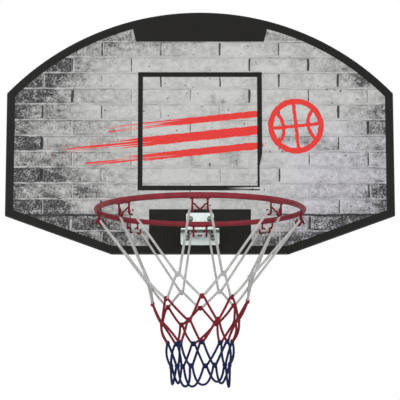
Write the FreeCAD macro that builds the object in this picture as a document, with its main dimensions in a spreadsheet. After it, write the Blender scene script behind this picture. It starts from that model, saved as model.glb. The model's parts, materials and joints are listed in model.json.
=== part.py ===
import FreeCAD, Part
import math
import os
import re
import Sketcher
from FreeCAD import Placement, Rotation, Vector

# Wall backboard with a rod rim on folded plates and a knotted net, in millimetres with +Z up.
# The origin lies on the wall at the centre of the four hanging holes, and the rim reaches out along -Y.

SIZES = {
    # Board outline, with heights above its bottom edge
    "board_width": 710,
    "board_height": 450,
    "upper_corner_height": 297,
    "lower_corner_height": 70,
    "bottom_edge_width": 322,
    # Board layers
    "panel_thickness": 12,
    "sheet_thickness": 0.6,
    "band_thickness": 1.5,
    # Wall hangers and their keyholes
    "pattern_height": 230,
    "keyhole_spacing_across": 340,
    "keyhole_spacing_up": 200,
    "keyhole_entry_diameter": 12,
    "keyhole_slot_width": 6.5,
    "keyhole_slot_rise": 15,
    "hanger_depth": 15,
    "hanger_end_margin": 30,
    "hanger_web_width": 36,
    "hanger_flange_width": 15,
    "hanger_thickness": 2,
    "hanger_bend_radius": 2,
    # Wood screws that hold the hangers
    "screw_spacing": 190,
    "screw_diameter": 3.5,
    "screw_clearance": 0.2,
    "screw_length": 10,
    "screw_tip_length": 2.5,
    "screw_head_diameter": 7,
    "screw_head_height": 2.4,
    # Rim
    "ring_diameter": 336,
    "rod_diameter": 9,
    "ring_gap": 50,
    "ring_height": 48,
    # Folded plates that carry the rim
    "plate_thickness": 2.5,
    "plate_bend_radius": 3,
    "plate_corner_radius": 4,
    "tongue_lip": 1,
    "upper_plate_width": 50,
    "upper_plate_top": 75,
    "upper_bolt_height": 64,
    "upper_bolt_spacing": 36,
    "lower_plate_width": 70,
    "lower_plate_bottom": 16,
    "lower_bolt_height": 29,
    "lower_bolt_spacing": 47,
    "clamp_spacing": 34,
    "clamp_reach": 25,
    # Bolts, washers and nuts
    "bolt_diameter": 6,
    "bolt_clearance": 0.6,
    "bolt_head_diameter": 10.5,
    "bolt_head_height": 3.8,
    "bolt_end_length": 2,
    "recess_length": 5.6,
    "recess_width": 1.3,
    "recess_depth": 1.8,
    "washer_diameter": 18,
    "washer_thickness": 1.6,
    "nut_width": 10,
    "nut_height": 5,
    "thread_clearance": 0.1,
    # Weld between the rim and the upper tongue
    "weld_diameter": 5,
    "weld_length": 36,
    "weld_offset": 3.6,
    "weld_rise": 1.2,
    # Net hooks of bent wire
    "hook_wire_diameter": 3,
    "hook_leg_spacing": 23,
    "hook_leg_inset": 3.5,
    "hook_leg_start": 1,
    "hook_drop": 20,
    "hook_seat_slack": 0.45,
    "hook_tip_drop": 10,
    "hook_brace_diameter": 2.6,
    "hook_brace_drop": 8,
    "hook_shoulder": 3.2,
    "hook_shoulder_radius": 2,
    "hook_valley_drop": 18.5,
    "hook_valley_radius": 2.6,
    "hook_valley_lean": 6,
    "hook_clearance": 0.1,
    # Net rows, with radii about the rim's axis and drops below the rim's plane
    "cord_diameter": 3.5,
    "knot_cover": 1,
    "cord_clearance": 0.3,
    "loop_side_clearance": 0.8,
    "loop_turn_radius": 3,
    "row_one_radius": 89,
    "row_one_drop": 118,
    "row_two_radius": 76,
    "row_two_drop": 149,
    "row_three_radius": 65,
    "row_three_drop": 181,
    "row_four_radius": 52,
    "row_four_drop": 214,
    "row_five_radius": 48,
    "row_five_drop": 251,
    "tail_radius": 46,
    "tail_drop": 286,
    # Helpers
    "overrun": 5,
}

# Counts, shares, angles in degrees and tolerances
HOOKS = 8
ROW_NAMES = ("one", "two", "three", "four", "five")
TIP_SHARE = 0.2
HEAD_SIDE_SHARE = 0.45
HEAD_TOP_SHARE = 0.62
TAIL_WIDTH_SHARE = 0.5
ARC_SHARE = 0.45
ROW_SHIFT_SHARE = 0.5
HOLD_SHARE = 0.6
POLE_ANGLE = 75
NET_WAVE_SHARE = 0.035
NET_LEAN_SHARE = 0.03
ROW_RISE_SHARES = (0.1, 0.07, 0.02, 0, 0)
ROW_TURN_SHARES = (0, 0, 0.06, 0.16, 0.24)
ROW_DRIFT_SHARES = (0.05, 0.06, 0.12, 0.12, 0.13)
TAIL_RISE_SHARE = 0.03
WAVE_TURNS = 2.6
SAME_POINT = 1e-6
VOLUME_SHARE = 0.01

# Depths and heights that several pieces share
FACE = "(hanger_depth + panel_thickness + sheet_thickness)"
TONGUE_TOP = "(ring_height - rod_diameter / 2)"
SEAM = f"({TONGUE_TOP} - plate_thickness)"
RING_REACH = "(ring_gap + ring_diameter / 2)"
TONGUE_LENGTH = "(ring_gap + tongue_lip)"
BOLT_HOLE = "(bolt_diameter + bolt_clearance)"
SCREW_HOLE = "(screw_diameter + screw_clearance)"
SCREW_OFFSET = "(hanger_web_width + hanger_flange_width) / 2"
HOOK_TURN = "((cord_diameter + hook_wire_diameter) / 2 + hook_seat_slack)"
KNOT_RADIUS = "(cord_diameter + knot_cover)"

doc = FreeCAD.newDocument("wall_backboard")
sheet = doc.addObject("Spreadsheet::Sheet", "Sizes")
for row, (size_name, size) in enumerate(SIZES.items(), start=1):
    sheet.set(f"A{row}", size_name)
    sheet.set(f"B{row}", str(size))
    sheet.setAlias(f"B{row}", size_name)
doc.recompute()

nodes = []


# Expressions

def formula(text):
    """Returns an expression with each size read from the sheet."""
    def from_sheet(word):
        return f"Sizes.{word.group()}" if word.group() in SIZES else word.group()

    return re.sub(r"[a-z_]+", from_sheet, text)


def value(text):
    """Returns what an expression comes to."""
    return float(sheet.evalExpression(formula(text)))


def bind(thing, prop, text):
    """Ties a property to an expression."""
    thing.setExpression(prop, formula(text))


def place(thing, x="0", y="0", z="0"):
    """Ties an object's place to three expressions."""
    bind(thing, "Placement.Base.x", x)
    bind(thing, "Placement.Base.y", y)
    bind(thing, "Placement.Base.z", z)


def keep(thing, label):
    """Names a finished sub-part and lists it for writing."""
    thing.Label = label
    nodes.append(thing)
    return thing


# Sketches

def plane_of(body, role):
    """Returns one of a body's own origin planes."""
    return next(plane for plane in body.Origin.OriginFeatures if plane.Role == role)


def sketch_on(body, role, x="0", y="0", z="0"):
    """Starts a sketch on an origin plane, shifted in that plane's own axes."""
    sketch = body.newObject("Sketcher::SketchObject", "outline")
    sketch.AttachmentSupport = [(plane_of(body, role), "")]
    sketch.MapMode = "FlatFace"
    bind(sketch, "AttachmentOffset.Base.x", x)
    bind(sketch, "AttachmentOffset.Base.y", y)
    bind(sketch, "AttachmentOffset.Base.z", z)
    return sketch


def limit(sketch, constraint, text):
    """Adds a dimension to a sketch and ties it to an expression."""
    index = sketch.addConstraint(constraint)
    bind(sketch, f"Constraints[{index}]", text)


def pin_point(sketch, line, end, across, up):
    """Ties one point of a sketch to its place."""
    for kind, text, axis in (("DistanceX", across, -2), ("DistanceY", up, -1)):
        distance = value(text)
        if distance == 0:
            sketch.addConstraint(Sketcher.Constraint("PointOnObject", line, end, axis))
        elif distance > 0:
            limit(sketch, Sketcher.Constraint(kind, -1, 1, line, end, distance), text)
        else:
            limit(sketch, Sketcher.Constraint(kind, line, end, -1, 1, -distance), f"-({text})")


def draw_polygon(sketch, corners, arc_radius=None):
    """Draws a closed outline. With an arc radius, its last side is an arc that bulges upwards."""
    points = [Vector(value(across), value(up), 0) for across, up in corners]
    first = sketch.GeometryCount
    for start, end in zip(points, points[1:]):
        sketch.addGeometry(Part.LineSegment(start, end))
    if arc_radius:
        radius = value(arc_radius)
        half = (points[0] - points[-1]).Length / 2
        rise = radius - math.sqrt(radius**2 - half**2)
        crown = (points[0] + points[-1]) / 2 + Vector(0, rise, 0)
        last = sketch.addGeometry(Part.Arc(points[0], crown, points[-1]))
        limit(sketch, Sketcher.Constraint("Radius", last, radius), arc_radius)
    else:
        last = sketch.addGeometry(Part.LineSegment(points[-1], points[0]))
    for step, (across, up) in enumerate(corners[:-1]):
        pin_point(sketch, first + step, 1, across, up)
        if step > 0:
            sketch.addConstraint(Sketcher.Constraint("Coincident", first + step - 1, 2, first + step, 1))
    pin_point(sketch, last - 1, 2, *corners[-1])
    starts_at_end = (sketch.getPoint(last, 1) - points[-1]).Length < SAME_POINT
    sketch.addConstraint(Sketcher.Constraint("Coincident", last - 1, 2, last, 1 if starts_at_end else 2))
    sketch.addConstraint(Sketcher.Constraint("Coincident", first, 1, last, 2 if starts_at_end else 1))


def draw_circle(sketch, across, up, diameter):
    """Draws a circle at a tied place."""
    centre = Vector(value(across), value(up), 0)
    index = sketch.addGeometry(Part.Circle(centre, Vector(0, 0, 1), value(diameter) / 2))
    pin_point(sketch, index, 3, across, up)
    limit(sketch, Sketcher.Constraint("Diameter", index, value(diameter)), diameter)


# Features

def new_body(label, x="0", y="0", z="0"):
    """Starts a body and places it."""
    body = doc.addObject("PartDesign::Body", label)
    body.AllowCompound = True
    place(body, x, y, z)
    return keep(body, label)


def pad(body, sketch, length, side="One side"):
    """Pads a sketch along its plane's normal."""
    feature = body.newObject("PartDesign::Pad", "pad")
    feature.Profile = sketch
    feature.SideType = side
    bind(feature, "Length", length)
    return feature


def turn(body, sketch):
    """Turns a half profile about the sketch's upright axis."""
    feature = body.newObject("PartDesign::Revolution", "turned")
    feature.Profile = sketch
    feature.ReferenceAxis = (sketch, ["V_Axis"])
    return feature


def pierce(body, sketch):
    """Cuts a sketch right through the body, both ways, and makes sure that it cut."""
    doc.recompute()
    before = body.Shape.Volume
    feature = body.newObject("PartDesign::Pocket", "hole")
    feature.Profile = sketch
    feature.Type = "ThroughAll"
    feature.SideType = "Symmetric"
    doc.recompute()
    if body.Shape.Volume >= before:
        raise RuntimeError(f"{body.Label}: a hole cut nothing")
    return feature


def mirror(body, features):
    """Repeats features on the other side of the middle plane."""
    feature = body.newObject("PartDesign::Mirrored", "pair")
    feature.Originals = features
    feature.MirrorPlane = (plane_of(body, "YZ_Plane"), [""])
    body.Tip = feature
    return feature


def along(edge, direction):
    """Tells whether an edge is straight and runs along a direction."""
    straight = isinstance(edge.Curve, Part.Line)
    return straight and abs(edge.tangentAt(edge.FirstParameter).dot(direction)) > 1 - SAME_POINT


def round_edges(body, radius, direction, spots):
    """Rounds the edges along a direction, found by spots that lie across it."""
    doc.recompute()
    base = body.Tip
    names = []
    for number, edge in enumerate(base.Shape.Edges, start=1):
        centre = edge.CenterOfMass - direction * edge.CenterOfMass.dot(direction)
        near = any((centre - spot).Length < SAME_POINT for spot in spots)
        if along(edge, direction) and near:
            names.append(f"Edge{number}")
    if len(names) < len(spots):
        raise RuntimeError(f"{body.Label}: found {len(names)} of {len(spots)} edges to round")
    feature = body.newObject("PartDesign::Fillet", "rounding")
    feature.Base = (base, names)
    bind(feature, "Radius", radius)
    return feature


# Board

def board_block(source, label, length):
    """Extrudes an outline forwards from the back of the board."""
    block = doc.addObject("Part::Extrusion", label)
    block.Base = source
    block.DirMode = "Normal"
    block.Solid = True
    bind(block, "LengthFwd", length)
    return block


def drill(label, across, up, diameter, start, length):
    """Makes a cylinder along Y, to be cut from the board."""
    tool = doc.addObject("Part::Cylinder", label)
    tool.Placement.Rotation = Rotation(Vector(1, 0, 0), 90)
    bind(tool, "Radius", f"{diameter} / 2")
    bind(tool, "Height", length)
    place(tool, across, start, up)
    return tool


def build_board():
    """The fibreboard panel, the printed sheet on its front and the band round its edge."""
    outline = doc.addObject("Sketcher::SketchObject", "board_outline")
    outline.Placement.Rotation = Rotation(Vector(1, 0, 0), 90)
    place(outline, y="-hanger_depth", z="-pattern_height")
    rise = "(board_height - upper_corner_height)"
    corners = [
        ("-board_width / 2", "upper_corner_height"),
        ("-board_width / 2", "lower_corner_height"),
        ("-bottom_edge_width / 2", "0"),
        ("bottom_edge_width / 2", "0"),
        ("board_width / 2", "lower_corner_height"),
        ("board_width / 2", "upper_corner_height"),
    ]
    draw_polygon(outline, corners, f"(board_width ^ 2 / 4 + {rise} ^ 2) / (2 * {rise})")
    inset = doc.addObject("Part::Offset2D", "inset_outline")
    inset.Source = outline
    inset.Join = "Intersection"
    bind(inset, "Value", "-band_thickness")

    panel_block = board_block(inset, "panel_block", "panel_thickness")
    sheet_block = board_block(inset, "sheet_block", "panel_thickness + sheet_thickness")
    whole_block = board_block(outline, "whole_block", "panel_thickness + sheet_thickness")

    bolt_drills = []
    for plate in ("upper", "lower"):
        for side in ("-", ""):
            bolt_drills.append(drill(
                f"{plate}_bolt_drill",
                f"{side}{plate}_bolt_spacing / 2",
                f"{plate}_bolt_height - pattern_height",
                BOLT_HOLE,
                "-hanger_depth + overrun",
                "panel_thickness + sheet_thickness + 2 * overrun",
            ))
    pilot_drills = []
    for hanger in ("-", ""):
        for flange in ("-", "+"):
            for height in ("-", ""):
                pilot_drills.append(drill(
                    "pilot_drill",
                    f"{hanger}keyhole_spacing_across / 2 {flange} {SCREW_OFFSET}",
                    f"{height}screw_spacing / 2",
                    SCREW_HOLE,
                    "-hanger_depth + overrun",
                    "screw_length - hanger_thickness + screw_clearance + overrun",
                ))
    through = doc.addObject("Part::Compound", "through_drills")
    through.Links = bolt_drills
    blind = doc.addObject("Part::Compound", "pilot_drills")
    blind.Links = pilot_drills

    drilled = doc.addObject("Part::Cut", "drilled_panel")
    drilled.Base = panel_block
    drilled.Tool = through
    panel = doc.addObject("Part::Cut", "board_panel")
    panel.Base = drilled
    panel.Tool = blind
    keep(panel, "board_panel")

    skin = doc.addObject("Part::Cut", "plain_sheet")
    skin.Base = sheet_block
    skin.Tool = panel_block
    printed = doc.addObject("Part::Cut", "printed_sheet")
    printed.Base = skin
    printed.Tool = through
    keep(printed, "printed_sheet")

    band = doc.addObject("Part::Cut", "edge_band")
    band.Base = whole_block
    band.Tool = sheet_block
    keep(band, "edge_band")


# Wall hangers

def build_hanger(side, sign):
    """A folded channel behind the board, with two keyholes in its web and four screw holes in its flanges."""
    body = new_body(f"{side}_hanger", x=f"{sign}keyhole_spacing_across / 2")
    half_web = "hanger_web_width / 2"
    half_all = f"({half_web} + hanger_flange_width)"
    right = [
        (half_all, "-hanger_depth"),
        (half_all, "-hanger_depth + hanger_thickness"),
        (half_web, "-hanger_depth + hanger_thickness"),
        (half_web, "0"),
    ]
    inner = [
        (f"-({half_web} - hanger_thickness)", "-hanger_depth"),
        (f"-({half_web} - hanger_thickness)", "-hanger_thickness"),
        (f"{half_web} - hanger_thickness", "-hanger_thickness"),
        (f"{half_web} - hanger_thickness", "-hanger_depth"),
    ]
    left = [(f"-({across})", up) for across, up in reversed(right)]
    profile = sketch_on(body, "XY_Plane")
    draw_polygon(profile, right + left + inner)
    pad(body, profile, "keyhole_spacing_up + 2 * hanger_end_margin", "Symmetric")

    web = value(half_web)
    wall = value("hanger_thickness")
    depth = value("hanger_depth")
    upright = Vector(0, 0, 1)
    inside = [Vector(web, wall - depth, 0), Vector(-web, wall - depth, 0)]
    inside += [Vector(web - wall, -wall, 0), Vector(wall - web, -wall, 0)]
    outside = [Vector(web, 0, 0), Vector(-web, 0, 0)]
    outside += [Vector(web - wall, -depth, 0), Vector(wall - web, -depth, 0)]
    round_edges(body, "hanger_bend_radius", upright, inside)
    round_edges(body, "hanger_bend_radius + hanger_thickness", upright, outside)

    entries = sketch_on(body, "XZ_Plane")
    slots = sketch_on(body, "XZ_Plane")
    ends = sketch_on(body, "XZ_Plane")
    screws = sketch_on(body, "XZ_Plane")
    half_slot = "keyhole_slot_width / 2"
    for height in ("-keyhole_spacing_up / 2", "keyhole_spacing_up / 2"):
        top = f"{height} + keyhole_slot_rise"
        draw_circle(entries, "0", height, "keyhole_entry_diameter")
        draw_circle(ends, "0", top, "keyhole_slot_width")
        draw_polygon(slots, [
            (f"-{half_slot}", height),
            (half_slot, height),
            (half_slot, top),
            (f"-{half_slot}", top),
        ])
    for across in (f"-{SCREW_OFFSET}", SCREW_OFFSET):
        for height in ("-screw_spacing / 2", "screw_spacing / 2"):
            draw_circle(screws, across, height, SCREW_HOLE)
    for holes in (entries, slots, ends, screws):
        pierce(body, holes)


def build_hanger_screws(side, sign):
    """Four pan-head wood screws through a hanger's flanges into the back of the panel."""
    body = new_body(f"{side}_hanger_screws", x=f"{sign}keyhole_spacing_across / 2", y="-hanger_depth")
    shank = "screw_diameter / 2"
    head = "screw_head_diameter / 2"
    tip = "-(screw_length - hanger_thickness)"
    top = "hanger_thickness + screw_head_height"
    turned = []
    for height in ("-screw_spacing / 2", "screw_spacing / 2"):
        profile = sketch_on(body, "XY_Plane", x=SCREW_OFFSET, z=height)
        draw_polygon(profile, [
            ("0", tip),
            (f"{shank} * {TIP_SHARE}", tip),
            (shank, f"{tip} + screw_tip_length"),
            (shank, "hanger_thickness"),
            (head, "hanger_thickness"),
            (head, f"hanger_thickness + screw_head_height * {HEAD_SIDE_SHARE}"),
            (f"{head} * {HEAD_TOP_SHARE}", top),
            ("0", top),
        ])
        turned.append(turn(body, profile))
    mirror(body, turned)


# Rim and its plates

def build_plate(name, free_edge, tongue_base, tongue_far):
    """A folded plate: a flange on the board and a tongue under the rim."""
    body = new_body(f"{name}_plate", y=f"-{FACE}", z="-pattern_height")
    profile = sketch_on(body, "YZ_Plane")
    draw_polygon(profile, [
        ("0", tongue_base),
        (f"-{TONGUE_LENGTH}", tongue_base),
        (f"-{TONGUE_LENGTH}", tongue_far),
        ("-plate_thickness", tongue_far),
        ("-plate_thickness", free_edge),
        ("0", free_edge),
    ])
    width = f"{name}_plate_width"
    pad(body, profile, width, "Symmetric")

    across = Vector(1, 0, 0)
    half = value(f"{width} / 2")
    end = -value(TONGUE_LENGTH)
    free = value(free_edge)
    inner_bend = Vector(0, -value("plate_thickness"), value(tongue_far))
    outer_bend = Vector(0, 0, value(tongue_base))
    round_edges(body, "plate_bend_radius", across, [inner_bend])
    round_edges(body, "plate_bend_radius + plate_thickness", across, [outer_bend])
    flange_corners = [Vector(half, 0, free), Vector(-half, 0, free)]
    tongue_corners = [Vector(half, end, 0), Vector(-half, end, 0)]
    round_edges(body, "plate_corner_radius", Vector(0, 1, 0), flange_corners)
    round_edges(body, "plate_corner_radius", Vector(0, 0, 1), tongue_corners)

    flange_holes = sketch_on(body, "XZ_Plane")
    tongue_holes = sketch_on(body, "XY_Plane")
    for side in ("-", ""):
        draw_circle(flange_holes, f"{side}{name}_bolt_spacing / 2", f"{name}_bolt_height", BOLT_HOLE)
        draw_circle(tongue_holes, f"{side}clamp_spacing / 2", "-clamp_reach", BOLT_HOLE)
    pierce(body, flange_holes)
    pierce(body, tongue_holes)


def build_rim():
    """The rod ring and the weld bead that holds it on the upper tongue."""
    ring = doc.addObject("Part::Torus", "rim_ring")
    bind(ring, "Radius1", "ring_diameter / 2")
    bind(ring, "Radius2", "rod_diameter / 2")
    place(ring, y=f"-{FACE} - {RING_REACH}", z="ring_height - pattern_height")
    keep(ring, "rim_ring")

    bead = doc.addObject("Part::Torus", "weld_bead")
    bead_radius = "(ring_diameter / 2 + weld_offset)"
    bead_angle = f"weld_length / {bead_radius} * {math.degrees(1)}"
    bind(bead, "Radius1", bead_radius)
    bind(bead, "Radius2", "weld_diameter / 2")
    bind(bead, "Angle3", bead_angle)
    bead.Placement.Rotation = Rotation(Vector(0, 0, 1), 90 - value(bead_angle) / 2)
    place(bead, y=f"-{FACE} - {RING_REACH}", z=f"{TONGUE_TOP} + weld_rise - pattern_height")
    off_rod = doc.addObject("Part::Cut", "bead_off_rod")
    off_rod.Base = bead
    off_rod.Tool = ring
    under = doc.addObject("Part::Box", "tongue_space")
    bind(under, "Length", "upper_plate_width")
    bind(under, "Width", f"{TONGUE_LENGTH} + overrun")
    bind(under, "Height", "weld_diameter")
    place(
        under,
        "-upper_plate_width / 2",
        f"-{FACE} - {TONGUE_LENGTH} - overrun",
        f"{TONGUE_TOP} - weld_diameter - pattern_height",
    )
    weld = doc.addObject("Part::Cut", "rim_weld")
    weld.Base = off_rod
    weld.Tool = under
    keep(weld, "rim_weld")
    return ring


# Bolts, washers and nuts

def bolt_profile(sketch, head_at, end_at, way):
    """Draws half a pan-head bolt. Way is the sign of the direction from its head to its end."""
    back = "-" if way == "+" else "+"
    shank = "bolt_diameter / 2"
    head = "bolt_head_diameter / 2"
    draw_polygon(sketch, [
        ("0", end_at),
        (shank, end_at),
        (shank, head_at),
        (head, head_at),
        (head, f"{head_at} {back} bolt_head_height * {HEAD_SIDE_SHARE}"),
        (f"{head} * {HEAD_TOP_SHARE}", f"{head_at} {back} bolt_head_height"),
        ("0", f"{head_at} {back} bolt_head_height"),
    ])


def draw_recess(sketch, across, up):
    """Draws the cross recess of a bolt head."""
    long = "recess_length / 2"
    thin = "recess_width / 2"
    spots = [(long, thin), (thin, thin), (thin, long)]
    arms = []
    for quarter, (a, b) in enumerate((("+", "+"), ("-", "+"), ("-", "-"), ("+", "-"))):
        ordered = spots if quarter % 2 == 0 else spots[::-1]
        arms += [(f"{across} {a} {u}", f"{up} {b} {v}") for u, v in ordered]
    draw_polygon(sketch, arms)


def draw_hexagon(sketch, width):
    """Draws a hexagon by its width across flats, with two corners on the level axis."""
    corner = f"{width} / sqrt(3)"
    draw_polygon(sketch, [
        (corner, "0"),
        (f"{corner} / 2", f"{width} / 2"),
        (f"-{corner} / 2", f"{width} / 2"),
        (f"-{corner}", "0"),
        (f"-{corner} / 2", f"-{width} / 2"),
        (f"{corner} / 2", f"-{width} / 2"),
    ])


def build_plate_fasteners(name):
    """The two bolts of one plate, with a washer and a nut each behind the board."""
    across = f"{name}_bolt_spacing / 2"
    height = f"{name}_bolt_height"
    back = "(panel_thickness + sheet_thickness)"
    end = f"{back} + washer_thickness + nut_height + bolt_end_length"

    bolts = new_body(f"{name}_plate_bolts", y=f"-{FACE}", z="-pattern_height")
    profile = sketch_on(bolts, "XY_Plane", x=across, z=height)
    bolt_profile(profile, "-plate_thickness", end, "+")
    turned = turn(bolts, profile)
    doc.recompute()
    before = bolts.Shape.Volume
    recess = sketch_on(bolts, "XZ_Plane", z="plate_thickness + bolt_head_height")
    draw_recess(recess, across, height)
    cross = bolts.newObject("PartDesign::Pocket", "recess")
    cross.Profile = recess
    bind(cross, "Length", "recess_depth")
    doc.recompute()
    if bolts.Shape.Volume >= before:
        raise RuntimeError(f"{bolts.Label}: the recess cut nothing")
    mirror(bolts, [turned, cross])

    washers = new_body(f"{name}_washers", y=f"-{FACE} + {back}", z="-pattern_height")
    disc = sketch_on(washers, "XZ_Plane", z="-washer_thickness")
    draw_circle(disc, across, height, "washer_diameter")
    draw_circle(disc, across, height, BOLT_HOLE)
    mirror(washers, [pad(washers, disc, "washer_thickness")])

    nuts = new_body(f"{name}_nuts", y=f"-{FACE} + {back} + washer_thickness", z="-pattern_height")
    hexagon = sketch_on(nuts, "XZ_Plane", x=across, y=height, z="-nut_height")
    draw_hexagon(hexagon, "nut_width")
    draw_circle(hexagon, "0", "0", "bolt_diameter + thread_clearance")
    mirror(nuts, [pad(nuts, hexagon, "nut_height")])


def build_clamp():
    """Two bolts that clamp the plates' tongues together, heads up, with nuts below."""
    across = "clamp_spacing / 2"
    low = f"({SEAM} - plate_thickness)"
    bolts = new_body("clamp_bolts", y=f"-{FACE}", z="-pattern_height")
    profile = sketch_on(bolts, "XZ_Plane", x=across, z="clamp_reach")
    bolt_profile(profile, TONGUE_TOP, f"{low} - nut_height - bolt_end_length", "-")
    mirror(bolts, [turn(bolts, profile)])

    nuts = new_body("clamp_nuts", y=f"-{FACE}", z=f"{low} - nut_height - pattern_height")
    hexagon = sketch_on(nuts, "XY_Plane", x=across, y="-clamp_reach")
    draw_hexagon(hexagon, "nut_width")
    draw_circle(hexagon, "0", "0", "bolt_diameter + thread_clearance")
    mirror(nuts, [pad(nuts, hexagon, "nut_height")])


# Wire and cord

def around_ring(bearing, tangent, radius, drop):
    """Returns a point by its bearing from the front of the rim, its reach aside, its radius and its drop."""
    centre = Vector(0, -value(f"{FACE} + {RING_REACH}"), value("ring_height - pattern_height"))
    out = Vector(math.sin(bearing), -math.cos(bearing), 0)
    aside = Vector(math.cos(bearing), math.sin(bearing), 0)
    return centre + out * radius + aside * tangent - Vector(0, 0, drop)


def rounded_path(points, radii):
    """Returns a wire of straight runs with an arc at each inner point, as large as fits if none is given."""
    edges = []
    start = points[0]
    for before, corner, after, radius in zip(points, points[1:], points[2:], radii):
        into = (corner - before).normalize()
        out = (after - corner).normalize()
        half_turn = into.getAngle(out) / 2
        if radius is None:
            shorter = min((corner - before).Length, (after - corner).Length)
            radius = ARC_SHARE * shorter / math.tan(half_turn)
        first = corner - into * radius * math.tan(half_turn)
        last = corner + out * radius * math.tan(half_turn)
        middle = corner + (out - into).normalize() * (radius / math.cos(half_turn) - radius)
        if (first - start).Length > SAME_POINT:
            edges.append(Part.LineSegment(start, first).toShape())
        edges.append(Part.Arc(first, middle, last).toShape())
        start = last
    edges.append(Part.LineSegment(start, points[-1]).toShape())
    return Part.Wire(edges)


def tube(path, diameter):
    """Returns a round tube along a wire, with its volume compared with section times length."""
    first = path.Edges[0]
    start = first.FirstParameter
    circle = Part.makeCircle(diameter / 2, first.valueAt(start), first.tangentAt(start))
    shape = path.makePipeShell([Part.Wire([circle])], True, False)
    due = math.pi * diameter**2 / 4 * path.Length
    if abs(shape.Volume - due) > VOLUME_SHARE * due:
        raise RuntimeError(f"a tube holds {shape.Volume:.1f} mm3 where its section and length give {due:.1f}")
    return shape


def build_hooks(ring):
    """Wire hooks under the rod: two legs that turn up inwards, with a V between them that leans outwards."""
    rod = value("rod_diameter / 2")
    wire = value("hook_wire_diameter / 2")
    aside = value("hook_leg_spacing / 2")
    leg = value("ring_diameter / 2 - hook_leg_inset")
    turned = value(HOOK_TURN)
    arm = leg - 2 * turned
    bottom = rod + value("hook_drop") - wire
    profile = [(leg, value("hook_leg_start")), (leg, bottom), (arm, bottom), (arm, rod + value("hook_tip_drop"))]
    top = rod + value("hook_brace_drop")
    valley = rod + value("hook_valley_drop")
    shoulder = aside - value("hook_shoulder")
    bend = value("hook_shoulder_radius")
    room = Part.makeTorus(value("ring_diameter / 2"), rod + value("hook_clearance"))
    room.Placement = ring.Placement
    for number in range(HOOKS):
        bearing = 2 * math.pi * number / HOOKS
        legs = []
        for side in (-aside, aside):
            points = [around_ring(bearing, side, radius, drop) for radius, drop in profile]
            legs.append(tube(rounded_path(points, [turned, turned]), 2 * wire))
        points = [around_ring(bearing, across, leg, top) for across in (-aside, -shoulder, shoulder, aside)]
        points.insert(2, around_ring(bearing, 0, leg + value("hook_valley_lean"), valley))
        path = rounded_path(points, [bend, value("hook_valley_radius"), bend])
        brace = tube(path, value("hook_brace_diameter"))
        hook = doc.addObject("Part::Feature", "hook")
        hook.Shape = legs[0].fuse([legs[1], brace]).cut(room).removeSplitter()
        keep(hook, f"net_hook_{number + 1}")


def knot_bearing(row, step):
    """Returns a knot's bearing. Rows alternate by half a step, turn more and more, and drift a little."""
    shift = ROW_SHIFT_SHARE if row % 2 == 1 else 0
    drift = ROW_DRIFT_SHARES[row - 1] * math.sin(WAVE_TURNS * (step % HOOKS) + row)
    return 2 * math.pi / HOOKS * (step + shift + ROW_TURN_SHARES[row - 1] + drift)


def knot(row, step):
    """Returns the centre of a knot, on a net that hangs unevenly and is pulled up at its front."""
    bearing = knot_bearing(row, step)
    radius = value(f"row_{ROW_NAMES[row - 1]}_radius") * (1 + NET_WAVE_SHARE * math.cos(2 * bearing + row))
    rise = NET_LEAN_SHARE * math.sin(bearing) + ROW_RISE_SHARES[row - 1] * math.cos(bearing)
    return around_ring(bearing, 0, radius, value(f"row_{ROW_NAMES[row - 1]}_drop") - rise * radius)


def beside_knot(row, step, side):
    """Returns the place next to a knot's centre that a cord on one side of it runs to."""
    bearing = knot_bearing(row, step)
    aside = Vector(math.cos(bearing), math.sin(bearing), 0)
    return knot(row, step) + aside * side * value("(cord_diameter + cord_clearance) / 2")


def hold_in():
    """Returns how far from there a cord starts, so that its end is inside the knot."""
    reach = value("cord_diameter + cord_clearance / 2")
    return HOLD_SHARE * math.sqrt(value(KNOT_RADIUS) ** 2 - reach**2)


def knot_ball(row, step):
    """Returns a knot with flattened poles, turned so that poles and seam lie clear of the cords."""
    bearing = knot_bearing(row, step)
    aside = Vector(math.cos(bearing), math.sin(bearing), 0)
    out = Vector(math.sin(bearing), -math.cos(bearing), 0)
    upright = Vector(0, 0, 1)
    ball = Part.makeSphere(value(KNOT_RADIUS), Vector(), upright, -POLE_ANGLE, POLE_ANGLE, 360)
    ball.Placement = Placement(knot(row, step), Rotation(aside, upright, out, "ZXY"))
    return ball


def knots_of(row):
    """Returns the knots of a row."""
    return [knot_ball(row, step) for step in range(HOOKS)]


def strands_below(row, end_gap=None):
    """Returns two strands from each knot of a row to the next row, or to a gap short of its knots."""
    strands = []
    for step in range(HOOKS):
        left = step if row % 2 == 1 else step - 1
        for side, other in ((-1, left), (1, left + 1)):
            start = beside_knot(row, step, side)
            end = beside_knot(row + 1, other, -side)
            run = (end - start).normalize()
            start += run * hold_in()
            if end_gap is None:
                end -= run * hold_in()
            else:
                end -= run * (end_gap + (end - knot(row + 1, other)).dot(run))
            strands.append(Part.makeCylinder(value("cord_diameter / 2"), (end - start).Length, start, run))
    return strands


def hung_loop(row, step, left, right, radius):
    """Returns a loop of cord from the knot before a step to the knot after it, by way of two turns."""
    start = beside_knot(row, step - 1, 1)
    end = beside_knot(row, step, -1)
    start += (left - start).normalize() * hold_in()
    end += (right - end).normalize() * hold_in()
    return tube(rounded_path([start, left, right, end], [radius, radius]), value("cord_diameter"))


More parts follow.
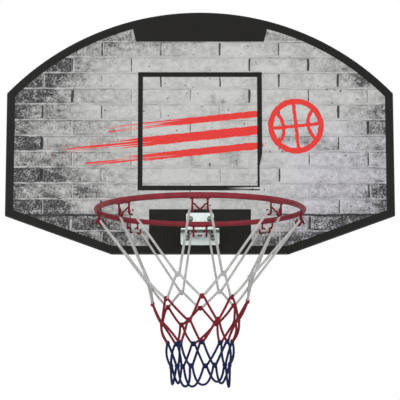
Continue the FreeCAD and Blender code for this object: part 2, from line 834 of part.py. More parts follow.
def hook_loops():
    """Returns the loops that hang in the hooks and run down to the first row of knots."""
    cord = value("cord_diameter / 2")
    wire = value("hook_wire_diameter / 2")
    seat = value(f"ring_diameter / 2 - hook_leg_inset - {HOOK_TURN}")
    drop = value("rod_diameter / 2 + hook_drop") - 2 * wire - cord - value("cord_clearance")
    aside = value("hook_leg_spacing / 2 + loop_side_clearance") + wire + cord
    loops = []
    for step in range(HOOKS):
        bearing = 2 * math.pi * step / HOOKS
        left = around_ring(bearing, -aside, seat, drop)
        right = around_ring(bearing, aside, seat, drop)
        loops.append(hung_loop(1, step, left, right, value("loop_turn_radius")))
    return loops


def tail_loops():
    """Returns the loops that hang from the last row of knots, not all of them as low."""
    last = len(ROW_NAMES)
    width = math.pi / HOOKS * TAIL_WIDTH_SHARE
    loops = []
    for step in range(HOOKS):
        bearing = (knot_bearing(last, step - 1) + knot_bearing(last, step)) / 2
        share = TAIL_RISE_SHARE * (1 + math.sin(WAVE_TURNS * step)) / 2
        drop = value("tail_drop") * (1 - share)
        left = around_ring(bearing - width, 0, value("tail_radius"), drop)
        right = around_ring(bearing + width, 0, value("tail_radius"), drop)
        loops.append(hung_loop(last, step, left, right, None))
    return loops


def build_net():
    """The net in its three colours, each one piece of knotted cord."""
    gap = value(f"{KNOT_RADIUS} + cord_clearance")
    bands = {
        "net_white": hook_loops() + knots_of(1) + strands_below(1, gap),
        "net_red": knots_of(2) + strands_below(2) + knots_of(3) + strands_below(3, gap),
        "net_blue": knots_of(4) + strands_below(4) + knots_of(5) + tail_loops(),
    }
    for label, pieces in bands.items():
        band = doc.addObject("Part::Feature", label)
        band.Shape = pieces[0].multiFuse(pieces[1:])
        keep(band, label)
        print(label, len(band.Shape.Solids), "solid,", round(band.Shape.Volume), "mm3")


# Assembly

build_board()
for hanger_side, hanger_sign in (("left", "-"), ("right", "")):
    build_hanger(hanger_side, hanger_sign)
    build_hanger_screws(hanger_side, hanger_sign)
build_plate("upper", "upper_plate_top", SEAM, TONGUE_TOP)
build_plate("lower", "lower_plate_bottom", SEAM, f"({SEAM} - plate_thickness)")
rim = build_rim()
build_plate_fasteners("upper")
build_plate_fasteners("lower")
build_clamp()
doc.recompute()
build_hooks(rim)
build_net()
doc.recompute()

# Checks, then one file for each sub-part
for thing in doc.Objects:
    if "Invalid" in thing.State or "Error" in thing.State:
        raise RuntimeError(f"{thing.Label}: {thing.State}")
for node in nodes:
    if node.Shape.isNull() or not node.Shape.isValid() or not node.Shape.Solids:
        raise RuntimeError(f"{node.Label}: its shape isn't a sound solid")

os.makedirs("parts", exist_ok=True)
for node in nodes:
    node.Shape.exportStep(os.path.join("parts", f"{node.Label}.step"))
print(len(nodes), "sub-parts written")
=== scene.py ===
import json
import logging
import math
from abc import ABC, abstractmethod
from dataclasses import dataclass, field
from enum import Enum
from functools import reduce
from typing import Optional, Union

import bpy
from mathutils import Matrix, Vector

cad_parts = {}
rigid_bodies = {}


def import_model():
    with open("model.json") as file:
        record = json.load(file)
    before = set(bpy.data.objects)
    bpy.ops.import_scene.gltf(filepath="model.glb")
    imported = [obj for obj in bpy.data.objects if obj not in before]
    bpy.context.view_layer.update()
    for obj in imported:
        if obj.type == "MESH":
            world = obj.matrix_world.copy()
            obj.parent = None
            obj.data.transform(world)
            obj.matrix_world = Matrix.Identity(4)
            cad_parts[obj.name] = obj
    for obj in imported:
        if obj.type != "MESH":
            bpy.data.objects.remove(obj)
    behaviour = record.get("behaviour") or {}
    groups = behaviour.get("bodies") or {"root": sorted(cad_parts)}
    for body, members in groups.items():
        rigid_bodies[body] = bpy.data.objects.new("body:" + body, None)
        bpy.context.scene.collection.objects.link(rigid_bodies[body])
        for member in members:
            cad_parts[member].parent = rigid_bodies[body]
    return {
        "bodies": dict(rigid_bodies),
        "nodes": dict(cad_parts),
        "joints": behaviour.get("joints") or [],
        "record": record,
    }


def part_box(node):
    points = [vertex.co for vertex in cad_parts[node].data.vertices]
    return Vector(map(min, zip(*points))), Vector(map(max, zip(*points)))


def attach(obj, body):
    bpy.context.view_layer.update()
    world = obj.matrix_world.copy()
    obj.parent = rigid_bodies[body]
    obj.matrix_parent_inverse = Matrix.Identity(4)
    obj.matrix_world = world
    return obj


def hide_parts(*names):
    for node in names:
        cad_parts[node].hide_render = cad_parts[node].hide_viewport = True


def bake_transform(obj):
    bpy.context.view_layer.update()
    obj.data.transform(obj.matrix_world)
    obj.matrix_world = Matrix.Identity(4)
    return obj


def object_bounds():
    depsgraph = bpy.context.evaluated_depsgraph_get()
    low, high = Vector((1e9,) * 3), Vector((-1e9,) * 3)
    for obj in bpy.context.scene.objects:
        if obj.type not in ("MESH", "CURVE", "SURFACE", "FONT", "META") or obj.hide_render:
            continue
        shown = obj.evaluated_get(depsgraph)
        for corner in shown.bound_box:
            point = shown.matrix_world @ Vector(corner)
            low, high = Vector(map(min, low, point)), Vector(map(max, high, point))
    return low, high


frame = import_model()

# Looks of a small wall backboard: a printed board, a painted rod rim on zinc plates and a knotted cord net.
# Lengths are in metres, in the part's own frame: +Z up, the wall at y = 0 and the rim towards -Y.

LOG = logging.getLogger("backboard")
CAD_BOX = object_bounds()
HOOK_COUNT = 8

# Half the width over which the print's sharp edges fade.
INK_EDGE = 0.0004

# A linear colour with its alpha, and the values at which a mask is 0 and 1.
Colour = tuple[float, float, float, float]
Span = tuple[float, float]


def srgb(red: int, green: int, blue: int) -> Colour:
    """Turns a colour as a screen shows it into the linear colour that a shader takes.

    Args:
        red: Red, 0 to 255.
        green: Green, 0 to 255.
        blue: Blue, 0 to 255.

    Returns:
        The linear colour, with full alpha.
    """
    def linear(level: int) -> float:
        """Undoes the screen's curve for one channel."""
        share = level / 255
        return share / 12.92 if share <= 0.04045 else ((share + 0.055) / 1.055) ** 2.4

    return linear(red), linear(green), linear(blue), 1.0


# Node trees

Operand = Union[float, "Field"]


@dataclass(frozen=True)
class Field:
    """A value that changes over a surface. Arithmetic on it adds the nodes that work it out."""

    graph: "Graph"
    socket: bpy.types.NodeSocket

    def __add__(self, other: Operand) -> "Field":
        """Adds two values."""
        return self.graph.math("ADD", self, other)

    def __sub__(self, other: Operand) -> "Field":
        """Takes a value away."""
        return self.graph.math("SUBTRACT", self, other)

    def __rsub__(self, other: float) -> "Field":
        """Takes this value from a number."""
        return self.graph.math("SUBTRACT", other, self)

    def __mul__(self, other: Operand) -> "Field":
        """Multiplies two values."""
        return self.graph.math("MULTIPLY", self, other)

    def __truediv__(self, other: Operand) -> "Field":
        """Divides by a value."""
        return self.graph.math("DIVIDE", self, other)

    def __abs__(self) -> "Field":
        """Drops the sign."""
        return self.graph.math("ABSOLUTE", self)

    def low(self, other: Operand) -> "Field":
        """Keeps the lower of two values."""
        return self.graph.math("MINIMUM", self, other)

    def high(self, other: Operand) -> "Field":
        """Keeps the higher of two values."""
        return self.graph.math("MAXIMUM", self, other)

    def floor(self) -> "Field":
        """Rounds down."""
        return self.graph.math("FLOOR", self)

    def root(self) -> "Field":
        """Takes the square root."""
        return self.graph.math("SQRT", self)

    def wave(self) -> "Field":
        """Takes the sine."""
        return self.graph.math("SINE", self)

    def under(self, limit: Operand, soft: float) -> "Field":
        """Makes a mask of where the value lies under a limit.

        Args:
            limit: The limit, which may itself change over the surface.
            soft: Half the width over which the mask fades.

        Returns:
            The mask, 1 under the limit and 0 over it.
        """
        return self.graph.fade(self - limit, soft, -soft)

    def over(self, limit: Operand, soft: float) -> "Field":
        """Makes a mask of where the value lies over a limit, as under does for below."""
        return self.graph.fade(self - limit, -soft, soft)


class Graph:
    """A node tree in the making."""

    def __init__(self, tree: bpy.types.NodeTree) -> None:
        """Takes the tree that the nodes go into."""
        self.tree = tree

    def node(self, kind: str, **settings: object) -> bpy.types.Node:
        """Adds a node.

        Args:
            kind: Blender's name of the node type.
            settings: Properties to set on it.

        Returns:
            The new node.
        """
        made = self.tree.nodes.new(kind)
        for name, value in settings.items():
            setattr(made, name, value)
        return made

    def feed(self, socket: bpy.types.NodeSocket, value: object) -> None:
        """Links a value to a socket, or sets it there if it is constant.

        Args:
            socket: The input.
            value: A field, a socket or a constant.
        """
        if isinstance(value, Field):
            self.tree.links.new(value.socket, socket)
        elif isinstance(value, bpy.types.NodeSocket):
            self.tree.links.new(value, socket)
        else:
            socket.default_value = value

    def math(self, operation: str, first: Operand, second: Operand = 0.0) -> Field:
        """Adds a Math node.

        Args:
            operation: Blender's name of the operation.
            first: The first operand.
            second: The second operand, where the operation takes one.

        Returns:
            The result.
        """
        made = self.node("ShaderNodeMath", operation=operation)
        self.feed(made.inputs[0], first)
        self.feed(made.inputs[1], second)
        return Field(self, made.outputs[0])

    def fade(self, value: Field, start: float, end: float) -> Field:
        """Turns a value into a smooth mask.

        Args:
            value: The value.
            start: Where the mask is 0.
            end: Where the mask is 1, which may lie below the start.

        Returns:
            The mask.
        """
        made = self.node("ShaderNodeMapRange", interpolation_type="SMOOTHSTEP")
        self.feed(made.inputs["Value"], value)
        flip = start > end
        self.feed(made.inputs["From Min"], end if flip else start)
        self.feed(made.inputs["From Max"], start if flip else end)
        self.feed(made.inputs["To Min"], 1.0 if flip else 0.0)
        self.feed(made.inputs["To Max"], 0.0 if flip else 1.0)
        return Field(self, made.outputs[0])

    def mix(self, mask: Operand, base: object, top: object) -> bpy.types.NodeSocket:
        """Lays one colour over another.

        Args:
            mask: How much of the top colour shows.
            base: The colour below, or a socket that has it.
            top: The colour above, or a socket that has it.

        Returns:
            The socket with the mixed colour.
        """
        made = self.node("ShaderNodeMix", data_type="RGBA")
        self.feed(made.inputs["Factor"], mask)
        self.feed(made.inputs[6], base)
        self.feed(made.inputs[7], top)
        return made.outputs[2]

    def place(self) -> tuple[bpy.types.NodeSocket, Field, Field, Field]:
        """Reads where a point of the surface lies.

        Returns:
            The place as a vector, and its x, y and z.
        """
        vector = self.node("ShaderNodeTexCoord").outputs["Object"]
        split = self.node("ShaderNodeSeparateXYZ")
        self.feed(split.inputs[0], vector)
        x, y, z = (Field(self, socket) for socket in split.outputs)
        return vector, x, y, z

    def vector(self, x: Operand, y: Operand, z: Operand) -> bpy.types.NodeSocket:
        """Joins three values into a vector.

        Args:
            x: Its x.
            y: Its y.
            z: Its z.

        Returns:
            The socket with the vector.
        """
        made = self.node("ShaderNodeCombineXYZ")
        for socket, value in zip(made.inputs, (x, y, z)):
            self.feed(socket, value)
        return made.outputs[0]

    def noise(self, vector: object, scale: Operand, detail: float) -> Field:
        """Adds a noise texture.

        Args:
            vector: The socket or field that says where it is read.
            scale: Its features per metre, about.
            detail: How many finer layers it has.

        Returns:
            The noise, about 0.5 on the average.
        """
        made = self.node("ShaderNodeTexNoise")
        self.feed(made.inputs["Vector"], vector)
        self.feed(made.inputs["Scale"], scale)
        self.feed(made.inputs["Detail"], detail)
        return Field(self, made.outputs[0])

    def chance(self, vector: bpy.types.NodeSocket) -> Field:
        """Draws a number that is even over each cell of whole numbers.

        Args:
            vector: The cell's numbers.

        Returns:
            The number, 0 to 1.
        """
        made = self.node("ShaderNodeTexWhiteNoise")
        self.feed(made.inputs["Vector"], vector)
        return Field(self, made.outputs["Value"])

    def effect(self, group: bpy.types.NodeTree, **values: object) -> bpy.types.Node:
        """Places a shared effect.

        Args:
            group: The effect's node group.
            values: What its inputs get.

        Returns:
            The group node, whose outputs have the effect's names.
        """
        made = self.node("ShaderNodeGroup", node_tree=group)
        for name, value in values.items():
            self.feed(made.inputs[name], value)
        return made

    def bump(self, height: object, distance: float) -> bpy.types.NodeSocket:
        """Turns a height into a normal.

        Args:
            height: The height, 0 to 1.
            distance: What a height of 1 measures.

        Returns:
            The socket with the normal.
        """
        made = self.node("ShaderNodeBump")
        self.feed(made.inputs["Height"], height)
        self.feed(made.inputs["Distance"], distance)
        self.feed(made.inputs["Strength"], 1.0)
        return made.outputs[0]

    def seen(self) -> Field:
        """Masks the rays that show a thing: straight to the camera, in a mirror or through glass."""
        path = self.node("ShaderNodeLightPath")
        rays = ("Is Camera Ray", "Is Glossy Ray", "Is Transmission Ray")
        return reduce(Field.high, [Field(self, path.outputs[ray]) for ray in rays])


class Effects:
    """The effects that more than one finish uses, each a node group that is built once."""

    CLOUD_DETAIL = 3.0
    CLOUD_SPAN: Span = (0.3, 0.7)
    GRAIN_DETAIL = 4.0
    GRAIN_SPAN: Span = (0.25, 0.75)
    LAY_SHARE = 0.5

    def __init__(self) -> None:
        """Builds the groups."""
        self.mottle = self._mottle()
        self.braid = self._braid()

    @staticmethod
    def _group(name: str, inputs: dict[str, float], outputs: tuple[str, ...]) -> tuple[Graph, dict, dict]:
        """Starts a node group.

        Args:
            name: The group's name.
            inputs: Its inputs with their values; the vector comes first by itself.
            outputs: Its outputs.

        Returns:
            The graph inside it, its inputs as fields by name and its output sockets by name.
        """
        tree = bpy.data.node_groups.new(name, "ShaderNodeTree")
        tree.interface.new_socket("Vector", in_out="INPUT", socket_type="NodeSocketVector")
        for label, value in inputs.items():
            socket = tree.interface.new_socket(label, in_out="INPUT", socket_type="NodeSocketFloat")
            socket.default_value = value
        for label in outputs:
            tree.interface.new_socket(label, in_out="OUTPUT", socket_type="NodeSocketFloat")
        graph = Graph(tree)
        start = graph.node("NodeGroupInput")
        end = graph.node("NodeGroupOutput")
        return graph, {s.name: Field(graph, s) for s in start.outputs}, {s.name: s for s in end.inputs}

    def _mottle(self) -> bpy.types.NodeTree:
        """Builds the uneven tone that dust, dye and paint have: a broad cloud and a fine grain.

        Returns:
            The group.
        """
        graph, read, out = self._group("mottle", {"Scale": 40.0, "Grain": 8.0}, ("Cloud", "Grain"))
        cloud = graph.noise(read["Vector"], read["Scale"], self.CLOUD_DETAIL)
        grain = graph.noise(read["Vector"], read["Scale"] * read["Grain"], self.GRAIN_DETAIL)
        graph.feed(out["Cloud"], graph.fade(cloud, *self.CLOUD_SPAN))
        graph.feed(out["Grain"], graph.fade(grain, *self.GRAIN_SPAN))
        return graph.tree

    def _braid(self) -> bpy.types.NodeTree:
        """Builds the lay of a braided cord from its map: u once round and v along it, in turns.

        Returns:
            The group.
        """
        graph, read, out = self._group("braid", {"Plaits": 4.0}, ("Height", "Shade"))
        split = graph.node("ShaderNodeSeparateXYZ")
        graph.feed(split.inputs[0], read["Vector"])
        turn = Field(graph, split.outputs[0]) * read["Plaits"]
        along = Field(graph, split.outputs[1]) * read["Plaits"] * self.LAY_SHARE
        right = abs(((turn + along) * math.pi).wave())
        left = abs(((turn - along) * math.pi).wave())
        graph.feed(out["Height"], right.high(left))
        graph.feed(out["Shade"], right * left)
        return graph.tree


# Finishes

@dataclass(frozen=True)
class Mottle:
    """How uneven a finish is: its clouds to the metre, how much finer its grain is and the grain's depth."""

    scale: float
    grain: float
    depth: float = 0.0


@dataclass(frozen=True)
class Pattern:
    """A noise pattern on a surface that faces along Y.

    Its scale is about how many features it has to the metre, and its detail how many finer layers. Its layer
    picks another part of the same noise, which wide and tall then squeeze. Its swing is its values' span.
    """

    scale: float
    detail: float = 3.0
    layer: Optional[float] = None
    wide: float = 1.0
    tall: float = 1.0
    swing: float = 1.0


class Finish:
    """A material in the making, with its principled shader and the place of a point on its surface."""

    def __init__(self, name: str) -> None:
        """Starts a material with nothing but its shader.

        Args:
            name: The material's name.
        """
        self.material = bpy.data.materials.new(name)
        self.material.use_nodes = True
        self.graph = Graph(self.material.node_tree)
        self.graph.tree.nodes.clear()
        self.vector, self.x, self.y, self.z = self.graph.place()
        self.shader = self.graph.node("ShaderNodeBsdfPrincipled")
        self.output = self.graph.node("ShaderNodeOutputMaterial")
        self.graph.feed(self.output.inputs["Surface"], self.shader.outputs[0])

    def set(self, **values: object) -> None:
        """Sets or links sockets of the shader, named with _ for a space."""
        for name, value in values.items():
            self.graph.feed(self.shader.inputs[name.replace("_", " ")], value)

    def mottled(self, effects: Effects, mottle: Mottle) -> tuple[Field, Field]:
        """Places the uneven tone.

        Args:
            effects: The shared effects.
            mottle: How uneven it is.

        Returns:
            Its cloud and its grain, each 0 to 1.
        """
        tone = self.graph.effect(effects.mottle, Vector=self.vector, Scale=mottle.scale, Grain=mottle.grain)
        return Field(self.graph, tone.outputs["Cloud"]), Field(self.graph, tone.outputs["Grain"])

    def read(self, pattern: Pattern) -> Field:
        """Reads a pattern.

        Args:
            pattern: The pattern.

        Returns:
            Its value, about 0.5 on the average.
        """
        where = self.vector
        if pattern.layer is not None:
            where = self.graph.vector(self.x * pattern.wide, pattern.layer, self.z * pattern.tall)
        return self.graph.noise(where, pattern.scale, pattern.detail)

    def waver(self, pattern: Pattern) -> Field:
        """Reads how far a pattern lies from its average, over its swing."""
        return self.read(pattern) * pattern.swing - pattern.swing / 2


@dataclass(frozen=True)
class MetalFinish:
    """Bright zinc plating, a little cloudy."""

    name: str
    colour: Colour
    roughness: float
    roughness_swing: float = 0.16
    dull_share: float = 0.8
    cloud_share: float = 0.5
    mottle: Mottle = Mottle(90.0, 9.0, 0.00008)

    def build(self, effects: Effects) -> bpy.types.Material:
        """Makes the material.

        Args:
            effects: The shared effects.

        Returns:
            The material.
        """
        finish = Finish(self.name)
        graph = finish.graph
        cloud, grain = finish.mottled(effects, self.mottle)
        dull = tuple(self.dull_share * level for level in self.colour[:3]) + (1.0,)
        rough = grain * self.roughness_swing + (self.roughness - self.roughness_swing / 2)
        finish.set(Base_Color=graph.mix(cloud * self.cloud_share, self.colour, dull), Metallic=1.0)
        finish.set(Roughness=rough, Normal=graph.bump(grain, self.mottle.depth))
        return finish.material


@dataclass(frozen=True)
class TongueShadedZincFinish:
    """Zinc sheet with painted shade all over the tongues but for their front edges, and a little dirt in its
    clouds.
    """

    name: str
    colour: Colour
    tongue_shade: Colour
    roughness: float
    face: float
    tip: float
    bend: float = 0.006
    bend_blur: float = 0.0015
    # The painted shade stops this far short of the tongue's front edge.
    clean: float = 0.0012
    clean_blur: float = 0.0004
    tongue_shade_share: float = 0.75
    dirt_share: float = 0.12
    metal_share: float = 0.2
    roughness_swing: float = 0.16
    tongue_roughness: float = 0.2
    mottle: Mottle = Mottle(90.0, 9.0, 0.00008)

    def build(self, effects: Effects) -> bpy.types.Material:
        """Makes the material.

        Args:
            effects: The shared effects.

        Returns:
            The material.
        """
        finish = Finish(self.name)
        graph = finish.graph
        cloud, grain = finish.mottled(effects, self.mottle)
        out = self.face - finish.y
        reach = self.face - self.tip - self.clean
        tongue = out.over(self.bend, self.bend_blur) * out.under(reach, self.clean_blur)
        # Painted shade over the tongues, uneven with the cloud, then a little dirt from the cloud over the
        # whole sheet.
        shade_and_dirt = tongue * (cloud * (1.0 - self.tongue_shade_share) + self.tongue_shade_share)
        shade_and_dirt = shade_and_dirt.high(cloud * self.dirt_share)
        rough = grain * self.roughness_swing + tongue * self.tongue_roughness
        finish.set(Base_Color=graph.mix(shade_and_dirt, self.colour, self.tongue_shade), Metallic=self.metal_share)
        finish.set(Roughness=rough + (self.roughness - self.roughness_swing / 2))
        finish.set(Normal=graph.bump(grain, self.mottle.depth))
        return finish.material


@dataclass(frozen=True)
class PaintFinish:
    """Enamel on steel, a little uneven, with dust in its clouds."""

    name: str
    colour: Colour
    dusty: Colour
    roughness: float
    roughness_swing: float = 0.15
    dust_share: float = 0.45
    gloss: float = 0.09
    coat: float = 0.01
    coat_roughness: float = 0.15
    mottle: Mottle = Mottle(55.0, 14.0, 0.00012)

    def build(self, effects: Effects) -> bpy.types.Material:
        """Makes the material.

        Args:
            effects: The shared effects.

        Returns:
            The material.
        """
        finish = Finish(self.name)
        graph = finish.graph
        cloud, grain = finish.mottled(effects, self.mottle)
        finish.set(Base_Color=graph.mix(cloud * self.dust_share, self.colour, self.dusty))
        finish.set(Roughness=cloud * self.roughness_swing + self.roughness, Specular_IOR_Level=self.gloss)
        finish.set(Coat_Weight=self.coat, Coat_Roughness=self.coat_roughness)
        finish.set(Normal=graph.bump(grain, self.mottle.depth))
        return finish.material


@dataclass(frozen=True)
class CordFinish:
    """Braided cord, dyed through, with painted shade between its plaits."""

    name: str
    colour: Colour
    shade: Colour
    plaits: float = 4.0
    plait_depth: float = 0.0003
    hollow_shade_share: float = 0.45
    worn_share: float = 0.3
    roughness: float = 0.85
    gloss: float = 0.2
    sheen: float = 0.08
    sheen_roughness: float = 0.5
    mottle: Mottle = Mottle(70.0, 10.0)

    def build(self, effects: Effects) -> bpy.types.Material:
        """Makes the material.

        Args:
            effects: The shared effects.

        Returns:
            The material.
        """
        finish = Finish(self.name)
        graph = finish.graph
        lay = graph.node("ShaderNodeUVMap", uv_map=CordMesh.UV_NAME)
        braid = graph.effect(effects.braid, Vector=lay.outputs[0], Plaits=self.plaits)
        cloud, _ = finish.mottled(effects, self.mottle)
        # Painted shade in the hollows between the plaits, and worn clouds, both towards the darker colour.
        hollow_shade = (1.0 - Field(graph, braid.outputs["Shade"])) * self.hollow_shade_share
        shade_and_wear = (hollow_shade + cloud * self.worn_share).low(1.0)
        finish.set(Base_Color=graph.mix(shade_and_wear, self.colour, self.shade))
        finish.set(Roughness=self.roughness, Specular_IOR_Level=self.gloss)
        finish.set(Sheen_Weight=self.sheen, Sheen_Roughness=self.sheen_roughness)
        finish.set(Normal=graph.bump(braid.outputs["Height"], self.plait_depth))
        return finish.material


@dataclass(frozen=True)
class FibreboardFinish:
    """Raw fibreboard, as the back of the panel is: matted fibres and darker flecks."""

    name: str
    colour: Colour
    fleck: Colour
    fibre_scale: float = 900.0
    fibre_stretch: float = 0.25
    fibre_detail: float = 3.0
    fleck_limit: float = 0.42
    fleck_blur: float = 0.08
    fleck_share: float = 0.42
    cloud_share: float = 0.25
    roughness: float = 0.8
    mottle: Mottle = Mottle(30.0, 25.0, 0.0001)

    def build(self, effects: Effects) -> bpy.types.Material:
        """Makes the material.

        Args:
            effects: The shared effects.

        Returns:
            The material.
        """
        finish = Finish(self.name)
        graph = finish.graph
        cloud, grain = finish.mottled(effects, self.mottle)
        along = graph.vector(finish.x * self.fibre_stretch, finish.y, finish.z)
        fibres = graph.noise(along, self.fibre_scale, self.fibre_detail)
        flecks = fibres.under(self.fleck_limit, self.fleck_blur) * self.fleck_share
        flecks = flecks + cloud * self.cloud_share
        finish.set(Base_Color=graph.mix(flecks, self.colour, self.fleck), Roughness=self.roughness)
        finish.set(Normal=graph.bump(grain, self.mottle.depth))
        return finish.material


@dataclass(frozen=True)
class BandFinish:
    """Dark plastic edging with a fine grain."""

    name: str
    colour: Colour
    worn: Colour
    worn_share: float = 0.4
    roughness: float = 0.42
    roughness_swing: float = 0.12
    gloss: float = 0.25
    mottle: Mottle = Mottle(60.0, 20.0, 0.0001)

    def build(self, effects: Effects) -> bpy.types.Material:
        """Makes the material.

        Args:
            effects: The shared effects.

        Returns:
            The material.
        """
        finish = Finish(self.name)
        graph = finish.graph
        cloud, grain = finish.mottled(effects, self.mottle)
        finish.set(Base_Color=graph.mix(cloud * self.worn_share, self.colour, self.worn))
        finish.set(Roughness=cloud * self.roughness_swing + self.roughness, Specular_IOR_Level=self.gloss)
        finish.set(Normal=graph.bump(grain, self.mottle.depth))
        return finish.material


# Print on the board's face

@dataclass(frozen=True)
class Outline:
    """The board's outline: upright sides, an arch over them and slants from them down to a flat bottom."""

    half_width: float
    bottom: float
    top: float
    upper_corner: float = 0.067
    lower_corner: float = -0.160
    bottom_half_width: float = 0.161

    def inside(self, x: Field, z: Field) -> Field:
        """Measures how far a place lies inside the outline.

        Args:
            x: The place's x.
            z: The place's z.

        Returns:
            Its distance from the nearest edge, less than 0 outside.
        """
        side = abs(x)
        rise = self.top - self.upper_corner
        radius = (self.half_width ** 2 + rise ** 2) / (2 * rise)
        from_centre = z - (self.top - radius)
        arch = radius - (x * x + from_centre * from_centre).root()
        run = self.half_width - self.bottom_half_width
        climb = self.lower_corner - self.bottom
        slope = math.hypot(run, climb)
        slant = (z - self.bottom) * (run / slope) - (side - self.bottom_half_width) * (climb / slope)
        return arch.low(slant).low(self.half_width - side).low(z - self.bottom)


@dataclass(frozen=True)
class DarkFields:
    """The print's dark parts: a border along the outline, a header and a patch behind the plates."""

    border: float = 0.015
    header_bottom: float = 0.1646
    header_half_width: float = 0.118
    header_flare: float = 0.26
    patch_top: float = -0.148
    patch_half_width: float = 0.0928

    def mask(self, finish: Finish, outline: Outline) -> Field:
        """Masks them.

        Args:
            finish: The printed face.
            outline: The board's outline.

        Returns:
            The mask, 1 where the print is dark.
        """
        side = abs(finish.x)
        border = outline.inside(finish.x, finish.z).under(self.border, INK_EDGE)
        reach = (finish.z - self.header_bottom) * self.header_flare + self.header_half_width
        header = finish.z.over(self.header_bottom, INK_EDGE) * (side - reach).under(0.0, INK_EDGE)
        patch = finish.z.under(self.patch_top, INK_EDGE) * side.under(self.patch_half_width, INK_EDGE)
        return border.high(header).high(patch)


@dataclass(frozen=True)
class TargetFrame:
    """The target's painted frame, brushed out towards its lower right corner.

    Its right side gets thinner downwards by the side wear. Its foot is split lengthwise and ends in hairs.
    """

    half_width: float = 0.114
    top: float = 0.107
    bottom: float = -0.1135
    line: float = 0.009
    worn_low: Span = (-0.030, -0.075)
    worn_right: Span = (0.045, 0.100)
    half_blur: float = 0.01
    side_wear: float = 0.0046
    side_wear_swing: float = 0.002
    side_left: float = 0.0008
    split_height: float = 0.0045
    split_half_width: float = 0.0016
    split_foot: float = 0.0028
    hairs_height: float = 0.010
    hairs_limit: float = 0.56
    hairs_blur: float = 0.03
    hairs_share: float = 0.9
    upright_brush: Pattern = Pattern(1.0, layer=0.0, wide=300.0, tall=9.0)
    level_brush: Pattern = Pattern(1.0, layer=0.0, wide=9.0, tall=300.0)

    def mask(self, finish: Finish) -> Field:
        """Masks what is left of the frame's paint.

        Args:
            finish: The printed face.

        Returns:
            The mask, 1 where there is paint.
        """
        graph, x, z = finish.graph, finish.x, finish.z
        middle = (self.top + self.bottom) / 2
        half_height = (self.top - self.bottom) / 2
        outside = (abs(x) - self.half_width).high(abs(z - middle) - half_height)
        frame = abs(outside + self.line / 2).under(self.line / 2, INK_EDGE)
        low = graph.fade(z, *self.worn_low) * x.over(0.0, self.half_blur)
        right = graph.fade(x, *self.worn_right) * z.under(middle, self.half_blur)
        bite = finish.read(self.upright_brush) * self.side_wear_swing + self.side_wear
        side = (self.half_width - x).under(low * bite - self.side_left, INK_EDGE) * low
        height = z - self.bottom
        split = (height - self.split_height).under(self.split_half_width, INK_EDGE)
        split = split * height.over(self.split_foot, INK_EDGE) * right
        hairs = finish.read(self.level_brush).over(self.hairs_limit, self.hairs_blur)
        hairs = right * hairs * height.under(self.hairs_height, INK_EDGE)
        return frame * (1.0 - side.high(split).high(hairs * self.hairs_share).low(1.0))


@dataclass(frozen=True)
class Streak:
    """A brush stroke behind the ball: its start and end on the ball's path, its rise and half its width."""

    start: float
    end: float
    rise: float
    half_width: float


@dataclass(frozen=True)
class RedPaint:
    """The red design: a sprayed ball with four seams, and brushed streaks behind it."""

    ball_x: float = 0.176
    ball_z: float = 0.006
    ball_radius: float = 0.046
    lean: float = math.radians(6.0)
    line: float = 0.0052
    seam_line_share: float = 0.62
    bow_centre_share: float = 1.35
    bow_radius_share: float = 0.86
    streaks: tuple[Streak, ...] = (
        Streak(-0.425, -0.075, 0.000, 0.0085),
        Streak(-0.340, -0.070, 0.030, 0.0060),
        Streak(-0.385, -0.070, -0.029, 0.0066),
    )
    bristles_along: float = 7.0
    bristles_across: float = 420.0
    bristles_detail: float = 4.0
    bristles_limit: float = 0.12
    bristles_blur: float = 0.05
    dryness: float = 0.4464
    shake: Pattern = Pattern(160.0, swing=0.0036)
    cover: Pattern = Pattern(700.0)
    cover_limit: float = 0.3
    cover_blur: float = 0.06
    least_cover: float = 0.8

    def mask(self, finish: Finish) -> Field:
        """Masks the red paint.

        Args:
            finish: The printed face.

        Returns:
            The mask, 1 where there is paint.
        """
        across = finish.x - self.ball_x
        up = finish.z - self.ball_z
        along = across * math.cos(self.lean) + up * math.sin(self.lean)
        rise = up * math.cos(self.lean) - across * math.sin(self.lean)
        shake = finish.waver(self.shake)
        paint = self._ball(along, rise, shake).high(self._strokes(finish.graph, along, rise, shake))
        cover = finish.read(self.cover).over(self.cover_limit, self.cover_blur)
        return paint * (cover * (1.0 - self.least_cover) + self.least_cover)

    def _ball(self, along: Field, rise: Field, shake: Field) -> Field:
        """Masks the ball's rim and seams.

        Args:
            along: The distance from the ball's centre along its path.
            rise: The distance from the path.
            shake: How far the hand shook.

        Returns:
            The mask.
        """
        from_centre = (along * along + rise * rise).root()
        rim = abs(from_centre - self.ball_radius)
        seams = abs(along).low(abs(rise))
        for aside in (self.bow_centre_share * self.ball_radius, -self.bow_centre_share * self.ball_radius):
            from_bow = ((along + aside) * (along + aside) + rise * rise).root()
            seams = seams.low(abs(from_bow - self.bow_radius_share * self.ball_radius))
        inside = from_centre.under(self.ball_radius, INK_EDGE)
        seams = (seams + shake).under(self.seam_line_share * self.line, INK_EDGE) * inside
        return (rim + shake).under(self.line, INK_EDGE).high(seams)

    def _strokes(self, graph: Graph, along: Field, rise: Field, shake: Field) -> Field:
        """Masks the streaks, which run dry towards their starts.

        Args:
            graph: The material's graph.
            along: The distance from the ball's centre along its path.
            rise: The distance from the path.
            shake: How far the hand shook.

        Returns:
            The mask.
        """
        brushed = graph.vector(along * self.bristles_along, 0.0, rise * self.bristles_across)
        bristles = graph.noise(brushed, 1.0, self.bristles_detail)
        strokes = []
        for streak in self.streaks:
            middle = (streak.start + streak.end) / 2
            past = (abs(along - middle) - (streak.end - streak.start) / 2).high(0.0)
            apart = ((rise - streak.rise) * (rise - streak.rise) + past * past).root()
            dry = graph.fade(along, streak.end, streak.start) * self.dryness
            wet = (bristles - dry).over(self.bristles_limit, self.bristles_blur)
            strokes.append((apart + shake).under(streak.half_width, 2 * INK_EDGE) * wet)
        return reduce(Field.high, strokes)


class Draw(Enum):
    """What chance draws for each brick or head joint, by the number that keeps the draws apart."""

    TONE = 3.0
    DARK_END = 5.0
    JOINT = 8.0


